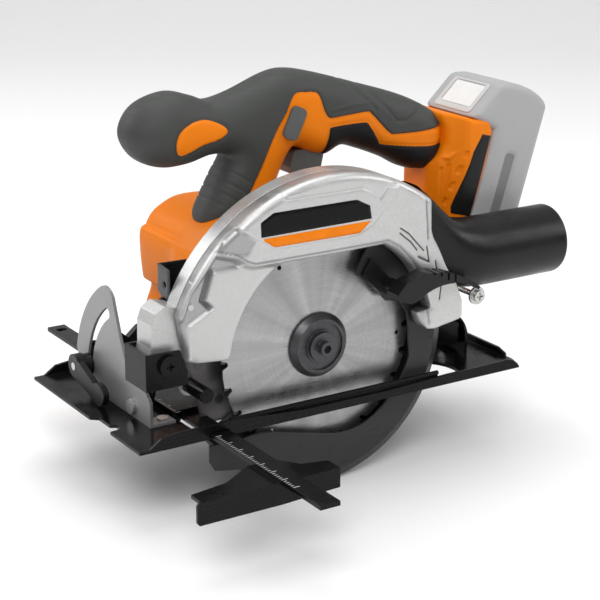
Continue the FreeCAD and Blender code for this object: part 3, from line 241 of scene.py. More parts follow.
plainLooks = {
    "orange": ("orangePlastic", dict(colour=(0.87, 0.215, 0.002), rough=0.46, spread=0.07, grain=1900.0,
        speckle=0.06, wear=0.25, wearTone=1.35, specular=0.16, corner=0.0008)),
    "rubber": ("gripRubber", dict(colour=(0.046, 0.049, 0.046), rough=0.62, spread=0.16, grain=2600.0,
        speckle=0.3, speckleTone=1.7, bump=0.28, depth=0.00025, wearTone=1.8, specular=0.4, corner=0.001)),
    "darkRubber": ("darkGripRubber", dict(colour=(0.009, 0.0095, 0.0105), rough=0.55, grain=2600.0,
        speckle=0.3, speckleTone=2.0, bump=0.25, depth=0.00025, wearTone=2.2, specular=0.18, corner=0.001)),
    "black": ("blackPlastic", dict(colour=(0.009, 0.009, 0.0095), grain=2200.0, speckleTone=2.0, bump=0.14,
        wear=0.35, wearTone=2.6, specular=0.26)),
    "triggerGrey": ("greyTriggerPlastic", dict(colour=(0.095, 0.1, 0.098), rough=0.45, spread=0.15,
        grain=2200.0, speckleTone=1.5, bump=0.14, wear=0.4, wearTone=1.8, specular=0.4, corner=0.0008)),
    "paint": ("blackPaintedSteel", dict(colour=(0.005, 0.005, 0.0055), rough=0.24, spread=0.25, grain=900.0,
        speckle=0.25, speckleTone=2.0, wear=0.7, wearTone=7.0, specular=0.15)),
    "guardPaint": ("blackGuardPaint", dict(colour=(0.03, 0.03, 0.032), spread=0.18, grain=1200.0,
        speckle=0.25, speckleTone=1.8, bump=0.14, wear=0.6, wearTone=3.0, specular=0.24, corner=0.0008)),
    "cast": ("castAluminium", dict(colour=(0.66, 0.66, 0.655), rough=0.42, spread=0.1, speckle=0.55,
        speckleTone=0.62, bump=0.34, depth=0.0003, wearTone=1.2, metal=0.72, corner=0.0009)),
    "steel": ("machinedSteel", dict(colour=(0.56, 0.56, 0.57), rough=0.3, spread=0.12, grain=1200.0,
        speckle=0.15, speckleTone=1.3, bump=0.12, wear=0.4, wearTone=1.4, metal=1.0, corner=0.0004)),
    "zinc": ("zincPlate", dict(colour=(0.6, 0.6, 0.58), rough=0.34, spread=0.14, grain=900.0,
        speckleTone=1.3, bump=0.12, wear=0.4, metal=0.9, corner=0.0004)),
    "quadrant": ("greyQuadrantPlate", dict(colour=(0.3, 0.3, 0.305), rough=0.42, spread=0.1,
        speckleTone=1.3, bump=0.15, wear=0.5, wearTone=1.7, metal=0.35)),
    "darkSteel": ("blackenedSteel", dict(colour=(0.075, 0.075, 0.08), grain=1200.0, speckleTone=1.6,
        bump=0.15, wear=0.5, wearTone=2.5, metal=0.7, corner=0.0004)),
    "brass": ("brassPlate", dict(colour=(0.7, 0.55, 0.27), rough=0.32, spread=0.15, grain=1100.0, bump=0.12,
        wear=0.4, metal=1.0, corner=0.0003)),
    "copper": ("copperWire", dict(colour=(0.62, 0.28, 0.13), rough=0.35, spread=0.15, speckle=0.15,
        speckleTone=1.3, bump=0.15, wear=0.4, metal=1.0, corner=0.0003)),
    "battery": ("paleBatteryPlastic", dict(colour=(0.4, 0.4, 0.405), rough=0.48, spread=0.06, grain=2000.0,
        speckle=0.08, speckleTone=1.15, bump=0.12, wear=0.25, specular=0.4, corner=0.0008)),
    "pale": ("paleButtonPlastic", dict(colour=(0.78, 0.78, 0.77), rough=0.35, spread=0.05, grain=2000.0,
        speckle=0.05, speckleTone=1.1, bump=0.08, wear=0.2, wearTone=1.1)),
    "tray": ("paleTrayPlastic", dict(colour=(0.56, 0.56, 0.555), rough=0.42, spread=0.05, grain=2000.0,
        speckle=0.05, speckleTone=1.1, bump=0.08, wear=0.2, wearTone=1.1, specular=0.4)),
    "magnet": ("sinteredMagnet", dict(colour=(0.05, 0.05, 0.055), rough=0.55, grain=900.0, speckle=0.3,
        speckleTone=1.8, bump=0.3, wearTone=2.0, metal=0.4, corner=0.0004)),
    "port": ("grainedBlackPlastic", dict(colour=(0.006, 0.0055, 0.0055), grain=2600.0, speckle=0.25,
        speckleTone=2.2, bump=0.22, wearTone=2.0, specular=0.28)),
    # painted shade: a darker grey for the plate laid over the gear case floor inside the guard
    "innerShadeSheet": ("greyInnerShadeSheet", dict(colour=(0.13, 0.122, 0.122), rough=0.42, spread=0.15,
        speckle=0.15, speckleTone=1.4, wearTone=1.6, metal=0.3, specular=0.4, corner=0.0004)),
    "tabSheet": ("greyTabSheet", dict(colour=(0.06, 0.062, 0.066), spread=0.15, speckle=0.15,
        speckleTone=1.4, wear=0.6, wearTone=3.0, metal=0.3, specular=0.4, corner=0.0005)),
    "scaleWhite": ("printedWhite", dict(colour=(0.62, 0.62, 0.62), rough=0.5, grain=3000.0, speckle=0.3,
        speckleTone=0.6, bump=0.05, wear=0.1, wearTone=1.0, specular=0.3, corner=0.0001)),
    "labelBlack": ("labelBlack", dict(colour=(0.004, 0.004, 0.0045), rough=0.28, speckle=0.1,
        speckleTone=1.6, bump=0.04, wearTone=3.0, specular=0.15, corner=0.0003)),
    "labelOrange": ("labelOrange", dict(colour=(0.87, 0.215, 0.002), rough=0.3, spread=0.08, speckle=0.05,
        bump=0.04, wearTone=1.5, specular=0.16, corner=0.0003)),
}

# paintedSheenDark: how dark the painted sheen sectors go on the blade and on the flange
bladeLook = dict(colour=(0.47, 0.47, 0.475), rough=0.34, spread=0.06, grain=1600.0, speckle=0.1,
               depth=0.00012, metal=0.9, corner=0.0002, centre=(0.0, 0.0, -spindleZ * mm), rings=2400.0,
               ringDark=0.8, paintedSheenDark=0.72)
flangeLook = dict(colour=(0.1, 0.1, 0.105), rough=0.38, spread=0.15, grain=1600.0, speckle=0.1,
                speckleTone=1.4, bump=0.12, depth=0.00015, wear=0.6, wearTone=3.0, metal=0.8, corner=0.0004,
                centre=(0.0, 0.0, -spindleZ * mm), rings=3600.0, ringDark=0.7, paintedSheenDark=0.8)

finishes = {key: plainFinish(name, {**commonLook, **look}) for key, (name, look) in plainLooks.items()}
finishes["blade"] = turnedFinish("groundBladeSteel", {**commonLook, **bladeLook})
finishes["flange"] = turnedFinish("turnedFlange", {**commonLook, **flangeLook})
# the sunk zone is painted shade: a darker grey drawn in the recess, pocket, sloped facet, lower left wall and
# grooves of the guard face; the engraved zone darkens the arrows
finishes["castShadedMarked"] = zonedFinish("castAluminiumShadedMarked", {**commonLook, **plainLooks["cast"][1]},
                                     [("sunk", (0.20, 0.20, 0.205), 1.0),
                                      ("engraved", (0.06, 0.06, 0.06), 0.12)])
finishes["batteryZoned"] = zonedFinish("paleBatteryStriped", {**commonLook, **plainLooks["battery"][1]},
                                       [("strip", (0.20, 0.20, 0.205), 0.15)])

nodeFinish = {
    "orange": ("motor_housing", "handle_shell_near", "handle_shell_far"),
    "rubber": ("grip_upper", "grip_lower"),
    "triggerGrey": ("trigger", "lockoff_button"),
    "black": ("dust_port", "guard_lever", "bevel_lever", "depth_lever",
              "fence_screw", "switch_body", "terminal_block", "brush_holder", "motor_fan", "bevel_washer",
              "brushes"),
    "paint": ("shoe", "front_bracket", "depth_arm", "rip_fence", "guard_stop_stud", "hinge_pin"),
    "guardPaint": ("lower_guard",),
    "cast": ("guard_near", "gear_case", "case_cover", "housing_screws"),
    "steel": ("spindle", "spindle_gear", "countershaft", "motor_shaft", "spindle_bearings",
              "countershaft_bearings", "motor_bearings", "armature_core", "motor_can", "guard_spring"),
    "zinc": ("foot_rivets", "bevel_pivots", "dust_screw", "bevel_bolt", "depth_bolt"),
    "quadrant": ("bevel_quadrant",),
    "darkSteel": ("flange_inner", "blade_bolt", "blade_tips", "wall_screws"),
    "brass": ("terminal_blades",),
    "copper": ("armature_windings", "commutator", "power_leads"),
    "battery": ("pack_shell_near", "pack_shell_far", "battery_cells"),
    "pale": ("battery_button",),
    "magnet": ("motor_magnets",),
    "blade": ("blade",),
    "flange": ("flange_outer",),
}


def dress(thing, material):
    thing.data.materials.clear()
    thing.data.materials.append(material)


for key, names in nodeFinish.items():
    for name in names:
        dress(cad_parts[name], finishes[key])
print("materials on", sum(len(names) for names in nodeFinish.values()), "nodes")


# shapes shared by the new pieces

def smoothLoop(corners, perSide=5):
    # closed curve through the corners: each side is the cubic that leaves a corner along the
    # line joining its two neighbours
    spots = np.array(corners, float)
    before, after, later = np.roll(spots, 1, 0), np.roll(spots, -1, 0), np.roll(spots, -2, 0)
    t = np.linspace(0, 1, perSide, endpoint=False)[None, :, None]
    a, b, c, d = (side[:, None, :] for side in (before, spots, after, later))
    curve = 0.5 * (2 * b + (c - a) * t + (2 * a - 5 * b + 4 * c - d) * t**2 + (3 * b - a - 3 * c + d) * t**3)
    return curve.reshape(-1, 2)


def nearestOnLoop(x, z, loop, closed=True):
    # distance in mm to an outline, above zero inside, and the nearest point on it: the least
    # distance to any side, and the sign from how many sides lie to the right of the point
    best = np.full(x.shape, 1e9)
    nearX, nearZ = x.copy(), z.copy()
    inside = np.zeros(x.shape, bool)
    ends = np.roll(np.array(loop, float), -1, axis=0)
    sides = list(zip(np.array(loop, float), ends))
    for (x0, z0), (x1, z1) in sides if closed else sides[:-1]:
        dx, dz = x1 - x0, z1 - z0
        share = np.clip(((x - x0) * dx + (z - z0) * dz) / max(dx * dx + dz * dz, 1e-12), 0, 1)
        spotX, spotZ = x0 + share * dx, z0 + share * dz
        away = np.hypot(x - spotX, z - spotZ)
        closer = away < best
        best = np.where(closer, away, best)
        nearX = np.where(closer, spotX, nearX)
        nearZ = np.where(closer, spotZ, nearZ)
        if closed and z0 != z1:
            inside ^= ((z0 > z) != (z1 > z)) & (x < x0 + (z - z0) * dx / dz)
    return (np.where(inside, best, -best) if closed else best), nearX, nearZ


def besidePath(x, z, path, top, slope):
    # top on an open path, less by 1 for each slope mm away from it, kept between 0 and 1
    return np.clip(top - nearestOnLoop(x, z, path, closed=False)[0] / slope, 0, 1)


def ease(value, low, high):
    # 0 below low, 1 above high, and 3t^2 - 2t^3 between
    t = np.clip((value - low) / (high - low), 0, 1)
    return t * t * (3 - 2 * t)


def twoSided(loop, holes, step, reach, heights):
    # Two faces over one outline, joined round every edge. A flat grid is cut to the outline, its
    # outer points slide to the nearest point of the line, and points within reach of it crowd
    # towards it as reach * (1 - cos(angle)), where angle runs from 0 at the line to a quarter
    # turn at reach. heights(x, z, angle) gives the y of the near face and of the far face.
    low, high = loop.min(0) - step, loop.max(0) + step
    x, z = np.meshgrid(np.arange(low[0], high[0] + step, step), np.arange(low[1], high[1] + step, step),
                       indexing="ij")
    distance, edgeX, edgeZ = nearestOnLoop(x, z, loop)
    for hole in holes:
        toHole, holeX, holeZ = nearestOnLoop(x, z, hole)
        closer = -toHole < distance
        distance = np.where(closer, -toHole, distance)
        edgeX = np.where(closer, holeX, edgeX)
        edgeZ = np.where(closer, holeZ, edgeZ)
    within = distance > 0.02
    kept = within[:-1, :-1] | within[1:, :-1] | within[1:, 1:] | within[:-1, 1:]
    i, j = np.nonzero(kept)
    number = np.arange(x.size).reshape(x.shape)
    quads = np.stack([number[i, j], number[i + 1, j], number[i + 1, j + 1], number[i, j + 1]], axis=1)
    used, flat = np.unique(quads.ravel(), return_inverse=True)
    quads = flat.reshape(-1, 4)
    x, z, edgeX, edgeZ = (grid.ravel()[used] for grid in (x, z, edgeX, edgeZ))
    distance = np.clip(distance.ravel()[used], 0.0, None)
    reachHere = reach(x, z) if callable(reach) else np.full(x.shape, float(reach))
    angle = math.pi / 2 * np.clip(distance / reachHere, 0, 1)
    crowd = np.where(distance < reachHere, reachHere * (1 - np.cos(angle)) / np.maximum(distance, 1e-6), 1.0)
    x = edgeX + (x - edgeX) * crowd
    z = edgeZ + (z - edgeZ) * crowd
    near, far = heights(x, z, angle)
    count = len(x)
    points = np.concatenate([np.stack([x, near, z], 1), np.stack([x, far, z], 1)])
    arrows = np.concatenate([quads[:, [k, (k + 1) % 4]] for k in range(4)])
    key = arrows[:, 0].astype(np.int64) * count + arrows[:, 1]
    back = arrows[:, 1].astype(np.int64) * count + arrows[:, 0]
    rim = arrows[~np.isin(key, back)]
    strip = np.stack([rim[:, 1], rim[:, 0], rim[:, 0] + count, rim[:, 1] + count], axis=1)
    faces = np.concatenate([quads, quads[:, ::-1] + count, strip])
    return points, faces


def ringFaces(rows, columns, turned=False):
    # quads between each ring of points and the next, the last point of a ring joined to its first
    i, j = np.meshgrid(np.arange(rows - 1), np.arange(columns), indexing="ij")
    first = (i * columns + j).ravel()
    after = (i * columns + (j + 1) % columns).ravel()
    order = [first, after, after + columns, first + columns]
    return np.stack([order[0], *order[:0:-1]] if turned else order, axis=1)


def relax(points, faces, rounds, share=0.5):
    # each point moves part of the way to the mean of its neighbours, for a few rounds
    links = np.concatenate([faces[:, [k, (k + 1) % 4]] for k in range(4)])
    start, end = links[:, 0], links[:, 1]
    weight = np.bincount(start, minlength=len(points)) + np.bincount(end, minlength=len(points))
    for _ in range(rounds):
        mean = np.empty_like(points)
        for axis in range(3):
            mean[:, axis] = (np.bincount(start, points[end, axis], len(points))
                             + np.bincount(end, points[start, axis], len(points))) / np.maximum(weight, 1)
        points = points + share * (mean - points)
    return points


def pointNormals(points, faces):
    # the sum of the face normals round each point, at length one
    a, b, c, d = (points[faces[:, k]] for k in range(4))
    across = np.cross(c - a, d - b)
    total = np.stack([sum(np.bincount(faces[:, k], across[:, axis], len(points)) for k in range(4))
                      for axis in range(3)], axis=1)
    return total / np.maximum(np.linalg.norm(total, axis=1, keepdims=True), 1e-9)


def makePiece(name, points, faces, finish, body, slot, replaced=(), **stored):
    # points in mm, stored values one for each point
    mesh = bpy.data.meshes.new(name)
    mesh.vertices.add(len(points))
    mesh.vertices.foreach_set("co", (points * mm).astype(np.float32).ravel())
    mesh.loops.add(faces.size)
    mesh.loops.foreach_set("vertex_index", faces.astype(np.int32).ravel())
    mesh.polygons.add(len(faces))
    mesh.polygons.foreach_set("loop_start", np.arange(0, faces.size, faces.shape[1], dtype=np.int32))
    mesh.polygons.foreach_set("use_smooth", np.ones(len(faces), bool))
    mesh.update(calc_edges=True)
    mesh.validate()
    for key, values in stored.items():
        attribute = mesh.attributes.new(key, "FLOAT", "POINT")
        attribute.data.foreach_set("value", values.astype(np.float32))
    piece = bpy.data.objects.new(name, mesh)
    bpy.context.collection.objects.link(piece)
    mesh.materials.append(finishes[finish])
    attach(piece, body)
    if replaced:
        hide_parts(*replaced)
    return piece


def layerOver(points, faces, normals, area, proud, sunk):
    # the part of a surface inside an area, lifted by proud and rolled down to sunk at its border
    lift = np.clip(1.9 * (area + 0.15), -sunk, proud)
    kept = faces[(area[faces] > -1.2).any(axis=1)]
    used, flat = np.unique(kept.ravel(), return_inverse=True)
    return (points + normals * lift[:, None])[used], flat.reshape(kept.shape)


def thicken(piece, thickness):
    shell = piece.modifiers.new("backing", "SOLIDIFY")
    shell.thickness = thickness * mm
    shell.offset = -1.0


# handle: orange shell, rubber grips and the orange inset in the front ball

handleShape = {
    "middle": handleY, "half": 17.8, "round": 15.5, "step": 0.72,
    "ball": (-80.0, 177.0, 22.0, 4.0),      # centre x, z, spread and how far it swells
    "loop": [(-50.0, 158.8), (-66.5, 155.2), (-84.0, 155.0), (-99.0, 161.8), (-106.2, 176.6), (-97.0, 192.4),
             (-76.6, 199.0), (-60.5, 195.4), (-48.6, 191.4), (-30.6, 195.0), (-6.6, 203.6), (8.0, 205.4),
             (27.4, 201.4), (57.4, 192.4), (91.4, 181.5), (112.0, 172.0), (123.0, 164.0), (126.0, 154.0),
             (124.0, 143.0), (119.0, 133.5), (116.5, 120.0), (115.0, 104.0), (100.0, 93.0), (66.0, 91.0),
             (14.0, 94.0), (-8.0, 106.0), (-31.0, 111.0), (-48.0, 112.0),
             (-57.0, 117.0), (-54.0, 126.0), (-44.0, 144.0), (-37.0, 156.5)],
    "window": [(8.4, 156.2), (20.0, 151.5), (32.4, 149.0), (45.4, 153.8), (60.0, 149.8), (81.4, 141.0),
               (94.0, 134.0), (103.0, 131.0), (110.0, 130.0), (113.0, 125.0), (112.6, 114.0), (107.0, 109.0),
               (87.0, 108.0), (52.0, 108.0), (19.0, 109.0),
               (4.0, 114.5), (-5.5, 125.0), (-1.5, 140.0)],
    "upper": [(-130.0, 225.0), (-130.0, 100.0), (-44.0, 100.0), (-36.0, 120.0), (-29.0, 134.0),
              (-20.0, 150.0), (-13.0, 164.0), (-8.0, 173.0), (-2.0, 182.0), (2.0, 190.0), (5.5, 193.4),
              (12.0, 193.4), (20.5, 192.4), (23.5, 189.0), (26.5, 181.0), (29.5, 176.0), (34.0, 175.0),
              (58.0, 176.2), (63.0, 174.0), (70.0, 167.0), (77.0, 160.4), (82.0, 159.0), (104.0, 158.6),
              (118.6, 160.0), (120.6, 163.0), (121.0, 170.0), (116.0, 178.0), (104.0, 190.0), (101.0, 225.0)],
    "lower": [(31.0, 166.0), (34.0, 168.2), (56.0, 168.6), (61.0, 166.0), (69.0, 155.0), (74.0, 151.4),
              (108.0, 147.0), (121.6, 147.0), (118.0, 138.0), (111.0, 131.0), (104.0, 126.0), (82.0, 129.0),
              (66.0, 135.0), (50.0, 140.0), (34.0, 145.0), (30.0, 152.0)],
    "inset": [(-78.0, 164.5), (-80.5, 171.0), (-78.0, 178.0), (-70.0, 182.5), (-60.0, 183.2), (-50.0, 179.5),
              (-45.0, 175.0), (-51.0, 171.0), (-63.0, 169.0), (-72.0, 165.5)],
    "grooves": [[(55.0, 197.0), (73.0, 178.0), (82.0, 167.5), (89.0, 166.5), (106.0, 173.5)],
                [(44.0, 198.0), (61.0, 182.0), (66.0, 176.0)]],
    "ridge": [(32.0, 179.4), (46.0, 181.5), (61.0, 181.0)],
    "grooveDepth": 1.1, "ridgeLift": 0.7, "ribSpacing": 7.0, "ribDepth": 0.7,
    "skin": 0.8,                            # thickness of a rubber skin, mm
}


def makeHandle():
    look = handleShape
    loop, window = smoothLoop(look["loop"]), smoothLoop(look["window"])
    ballX, ballZ, spread, swell = look["ball"]

    def swollen(x, z):
        return np.exp(-((x - ballX) ** 2 + (z - ballZ) ** 2) / (2 * spread**2))

    def heights(x, z, angle):
        # half width less the round, plus the round times the sine of the angle
        roll = look["round"] + swell * swollen(x, z)
        half = look["half"] + swell * swollen(x, z)
        bulge = half - roll + roll * np.sin(angle)
        return look["middle"] - bulge, look["middle"] + bulge

    points, faces = twoSided(loop, [window], look["step"],
                             lambda x, z: look["round"] + swell * swollen(x, z), heights)
    points = relax(points, faces, 10)
    normals = pointNormals(points, faces)
    x, z = points[:, 0], points[:, 2]
    upper = nearestOnLoop(x, z, smoothLoop(look["upper"], 3))[0]
    lower = nearestOnLoop(x, z, smoothLoop(look["lower"], 3))[0]
    inset = nearestOnLoop(x, z, smoothLoop(look["inset"], 4))[0]
    inset = np.where(points[:, 1] < look["middle"] + 40, inset, -5.0)
    rubber = np.maximum(upper, lower)
    trench = 0.5 * np.clip(1.6 - np.abs(rubber + 0.9), 0, 1)
    under = np.maximum(rubber, np.maximum(inset, 0))
    shell = points - normals * (trench + 1.3 * ease(under, 0.4, 1.6))[:, None]
    makePiece("handleShell", shell, faces, "orange", "saw", "orange_plastic",
              ("handle_shell_near", "handle_shell_far"))
    grooved = np.zeros(len(points))
    for path in look["grooves"]:
        grooved += besidePath(x, z, path, 1.0, 1.3) * look["grooveDepth"]
    grooved -= besidePath(x, z, look["ridge"], 1.0, 1.6) * look["ridgeLift"]
    # ribs across the front post: dips at even steps along a slanted line, faded out at its ends
    along = (x * 0.55 + z * 0.83) % look["ribSpacing"]
    ribbed = np.clip(1.0 - np.abs(along - look["ribSpacing"] / 2) / 0.9, 0, 1)
    ribbed *= ease(-x, 26.0, 32.0) * ease(x, -72.0, -66.0) * ease(-z, -152.0, -146.0) * ease(z, 124.0, 130.0)
    grooved += look["ribDepth"] * ribbed
    grooved += 0.9 * np.clip(1.0 - np.abs(inset + 0.9) / 1.2, 0, 1)
    grip = points - normals * grooved[:, None]
    for name, area, finish, node in (("gripUpper", upper, "rubber", "grip_upper"),
                                     ("gripLower", lower, "darkRubber", "grip_lower")):
        skin, quads = layerOver(grip, faces, normals, area, 0.6, 1.9)
        thicken(makePiece(name, skin, quads, finish, "saw", "grip_rubber", (node,)), look["skin"])
    skin, quads = layerOver(points + normals * 0.8, faces, normals, inset, 0.7, 2.2)
    thicken(makePiece("ballInset", skin, quads, "orange", "saw", "orange_plastic"), look["skin"])
    print("handle, grips and inset made")


# motor cover: a drum that swells into a box with ledges, about the motor's own line

motorShape = {
    "x": -31.0, "z": 78.7, "turns": 216,
    "section": [(-8.0, 115.0), (-20.0, 119.5), (-33.0, 120.5), (-45.0, 119.5), (-56.0, 114.5), (-61.0, 110.5),
                (-64.2, 106.0), (-65.2, 103.8), (-68.6, 102.2), (-70.0, 98.0), (-70.2, 92.0), (-69.8, 82.0),
                (-68.6, 69.5), (-67.6, 67.2), (-63.4, 65.6), (-62.4, 62.0), (-63.4, 57.0), (-66.0, 50.5),
                (-66.4, 46.6), (-62.0, 43.0), (-50.0, 39.0), (-31.0, 37.5), (-12.0, 40.0), (2.0, 50.0),
                (9.0, 64.0), (11.0, 80.0), (8.0, 96.0), (1.0, 108.0)],
    # y, share of the box section (the rest is the round neck), scale
    "profile": [(30.4, 0.25, 0.90), (31.0, 0.25, 0.985), (33.0, 0.27, 1.0), (44.0, 0.34, 1.0),
                (51.0, 0.42, 1.0), (54.0, 0.52, 1.0), (57.0, 0.76, 1.0), (60.0, 0.94, 1.0),
                (63.0, 1.0, 1.0), (70.0, 1.0, 1.0),
                (80.0, 1.0, 1.004), (88.0, 1.0, 1.006), (96.0, 1.0, 1.004), (100.0, 1.0, 1.0),
                (103.0, 1.0, 0.992), (105.0, 1.0, 0.972), (106.6, 1.0, 0.94), (107.6, 1.0, 0.89),
                (108.0, 1.0, 0.82), (108.0, 1.0, 0.66), (108.0, 1.0, 0.5), (108.0, 1.0, 0.34),
                (108.0, 1.0, 0.2), (108.0, 1.0, 0.08), (108.0, 1.0, 0.0)],
    "neck": 46.0, "vents": 26, "ventDepth": 1.6,
}


def makeMotorCover():
    # radius(turn, y) = neck radius and section radius mixed by the share, times the scale; the
    # air slots are dips in the end cap where a cosine of the turn is high
    look = motorShape
    outline = smoothLoop(look["section"], 6)
    offX, offZ = outline[:, 0] - look["x"], outline[:, 1] - look["z"]
    order = np.argsort(np.arctan2(offZ, offX))
    bearing = np.arctan2(offZ, offX)[order]
    reach = np.hypot(offX, offZ)[order]
    turn = np.linspace(-math.pi, math.pi, look["turns"], endpoint=False)
    box = np.interp(turn, bearing, reach, period=2 * math.pi)
    stops = np.array(look["profile"])
    place = np.linspace(0, len(stops) - 1, 3 * (len(stops) - 1) + 1)
    y = np.interp(place, np.arange(len(stops)), stops[:, 0])
    share = np.interp(place, np.arange(len(stops)), stops[:, 1])
    scale = np.interp(place, np.arange(len(stops)), stops[:, 2])
    radius = ((1 - share)[:, None] * look["neck"] + share[:, None] * box[None, :]) * scale[:, None]
    dip = np.clip((np.cos(look["vents"] * turn) - 0.1) * 2.2, 0, 1)[None, :]
    dip = dip * (ease(scale, 0.42, 0.46) * ease(-scale, -0.80, -0.76) * (y > 107.5))[:, None]
    dip = dip * ((np.sin(turn) > 0.18) | (np.sin(turn) < -0.18))[None, :]
    x = look["x"] + radius * np.cos(turn)
    z = look["z"] + radius * np.sin(turn)
    height = np.broadcast_to(y[:, None], x.shape) - look["ventDepth"] * dip
    points = np.stack([x, height, z], axis=-1).reshape(-1, 3)
    faces = ringFaces(*x.shape, turned=True)
    makePiece("motorCover", points, faces, "orange", "saw", "orange_plastic", ("motor_housing",))
    print("motor cover made")


# near guard casting: one height field with the raised cap and label pad, the sunk ring with its
# raised panel, the pocket beside the panel and the engraved arrows

guardShape = {
    "face": -23.6, "part": -11.5, "round": 4.6, "step": 0.8, "wall": 2.6,
    "outer": 114.0, "window": 74.0, "padLift": 0.95,
    "recess": [(-112.0, 30.0), (-110.0, 74.0), (-101.0, 95.0), (-90.0, 109.0), (-83.5, 117.0), (-79.0, 115.6),
               (-69.0, 112.6), (-63.0, 108.2), (-58.0, 106.2), (-28.0, 105.8), (8.0, 105.8), (37.0, 106.2),
               (46.0, 101.0), (53.0, 93.6), (60.0, 84.6), (64.0, 76.0), (67.0, 68.0), (69.6, 56.0),
               (70.0, 30.0), (0.0, -20.0)],
    "recessFloor": -17.4, "recessSlope": 5.0,
    "pocket": [(-82.6, 106.6), (-87.0, 105.6), (-93.0, 88.2), (-86.8, 81.6), (-84.6, 83.4), (-89.6, 88.4),
               (-84.0, 104.4)],
    "pocketFloor": -15.0,
    "panel": [(-101.6, 30.0), (-101.2, 74.4), (-85.0, 83.0), (-90.0, 88.1), (-84.0, 105.1), (-67.5, 105.5),
              (-58.0, 112.0), (84.0, 112.0), (84.0, 20.0)],
    "panelLift": 2.0,
    "pad": [(-72.0, 131.5), (-57.0, 121.6), (-44.0, 114.0), (14.0, 113.8), (25.0, 118.5), (34.0, 127.0),
            (45.0, 140.0), (36.0, 141.0), (30.0, 133.5), (24.0, 139.5), (18.0, 142.6), (-36.0, 142.6),
            (-43.0, 146.0), (-56.0, 142.0)],
    "cap": [(-42.0, 148.6), (-36.0, 144.4), (18.0, 144.4), (26.0, 140.8), (31.0, 136.2), (36.0, 142.0),
            (44.0, 143.0), (33.0, 148.5), (15.0, 153.0), (0.0, 154.0), (-14.0, 153.4), (-29.0, 152.6)],
    "facet": [(-71.0, 131.0), (-57.5, 120.4), (-63.5, 112.6), (-70.0, 113.4), (-82.0, 117.0), (-76.0, 125.0)],
    "grooves": [[(-82.5, 117.2), (-79.0, 116.2), (-69.0, 113.4), (-63.0, 109.0), (-58.0, 107.0),
                 (-28.0, 106.6), (8.0, 106.6), (37.6, 107.0), (46.6, 101.6), (53.8, 94.2), (60.8, 85.2),
                 (64.8, 76.6),
                 (67.8, 68.0), (70.4, 56.0)],
                [(66.0, 128.0), (67.2, 116.0), (68.0, 104.0)],
                [(66.5, 66.5), (69.0, 58.0), (70.5, 47.0)]],
    "arrows": [[(46.5, 113.5), (53.0, 109.0), (59.0, 102.4), (64.6, 96.4)],
               [(67.0, 98.8), (69.0, 88.2), (60.6, 92.8)],
               [(46.0, 110.4), (54.6, 103.4), (59.4, 97.4)],
               [(74.0, 88.0), (75.4, 81.0), (79.0, 70.0), (78.0, 62.0)]],
}


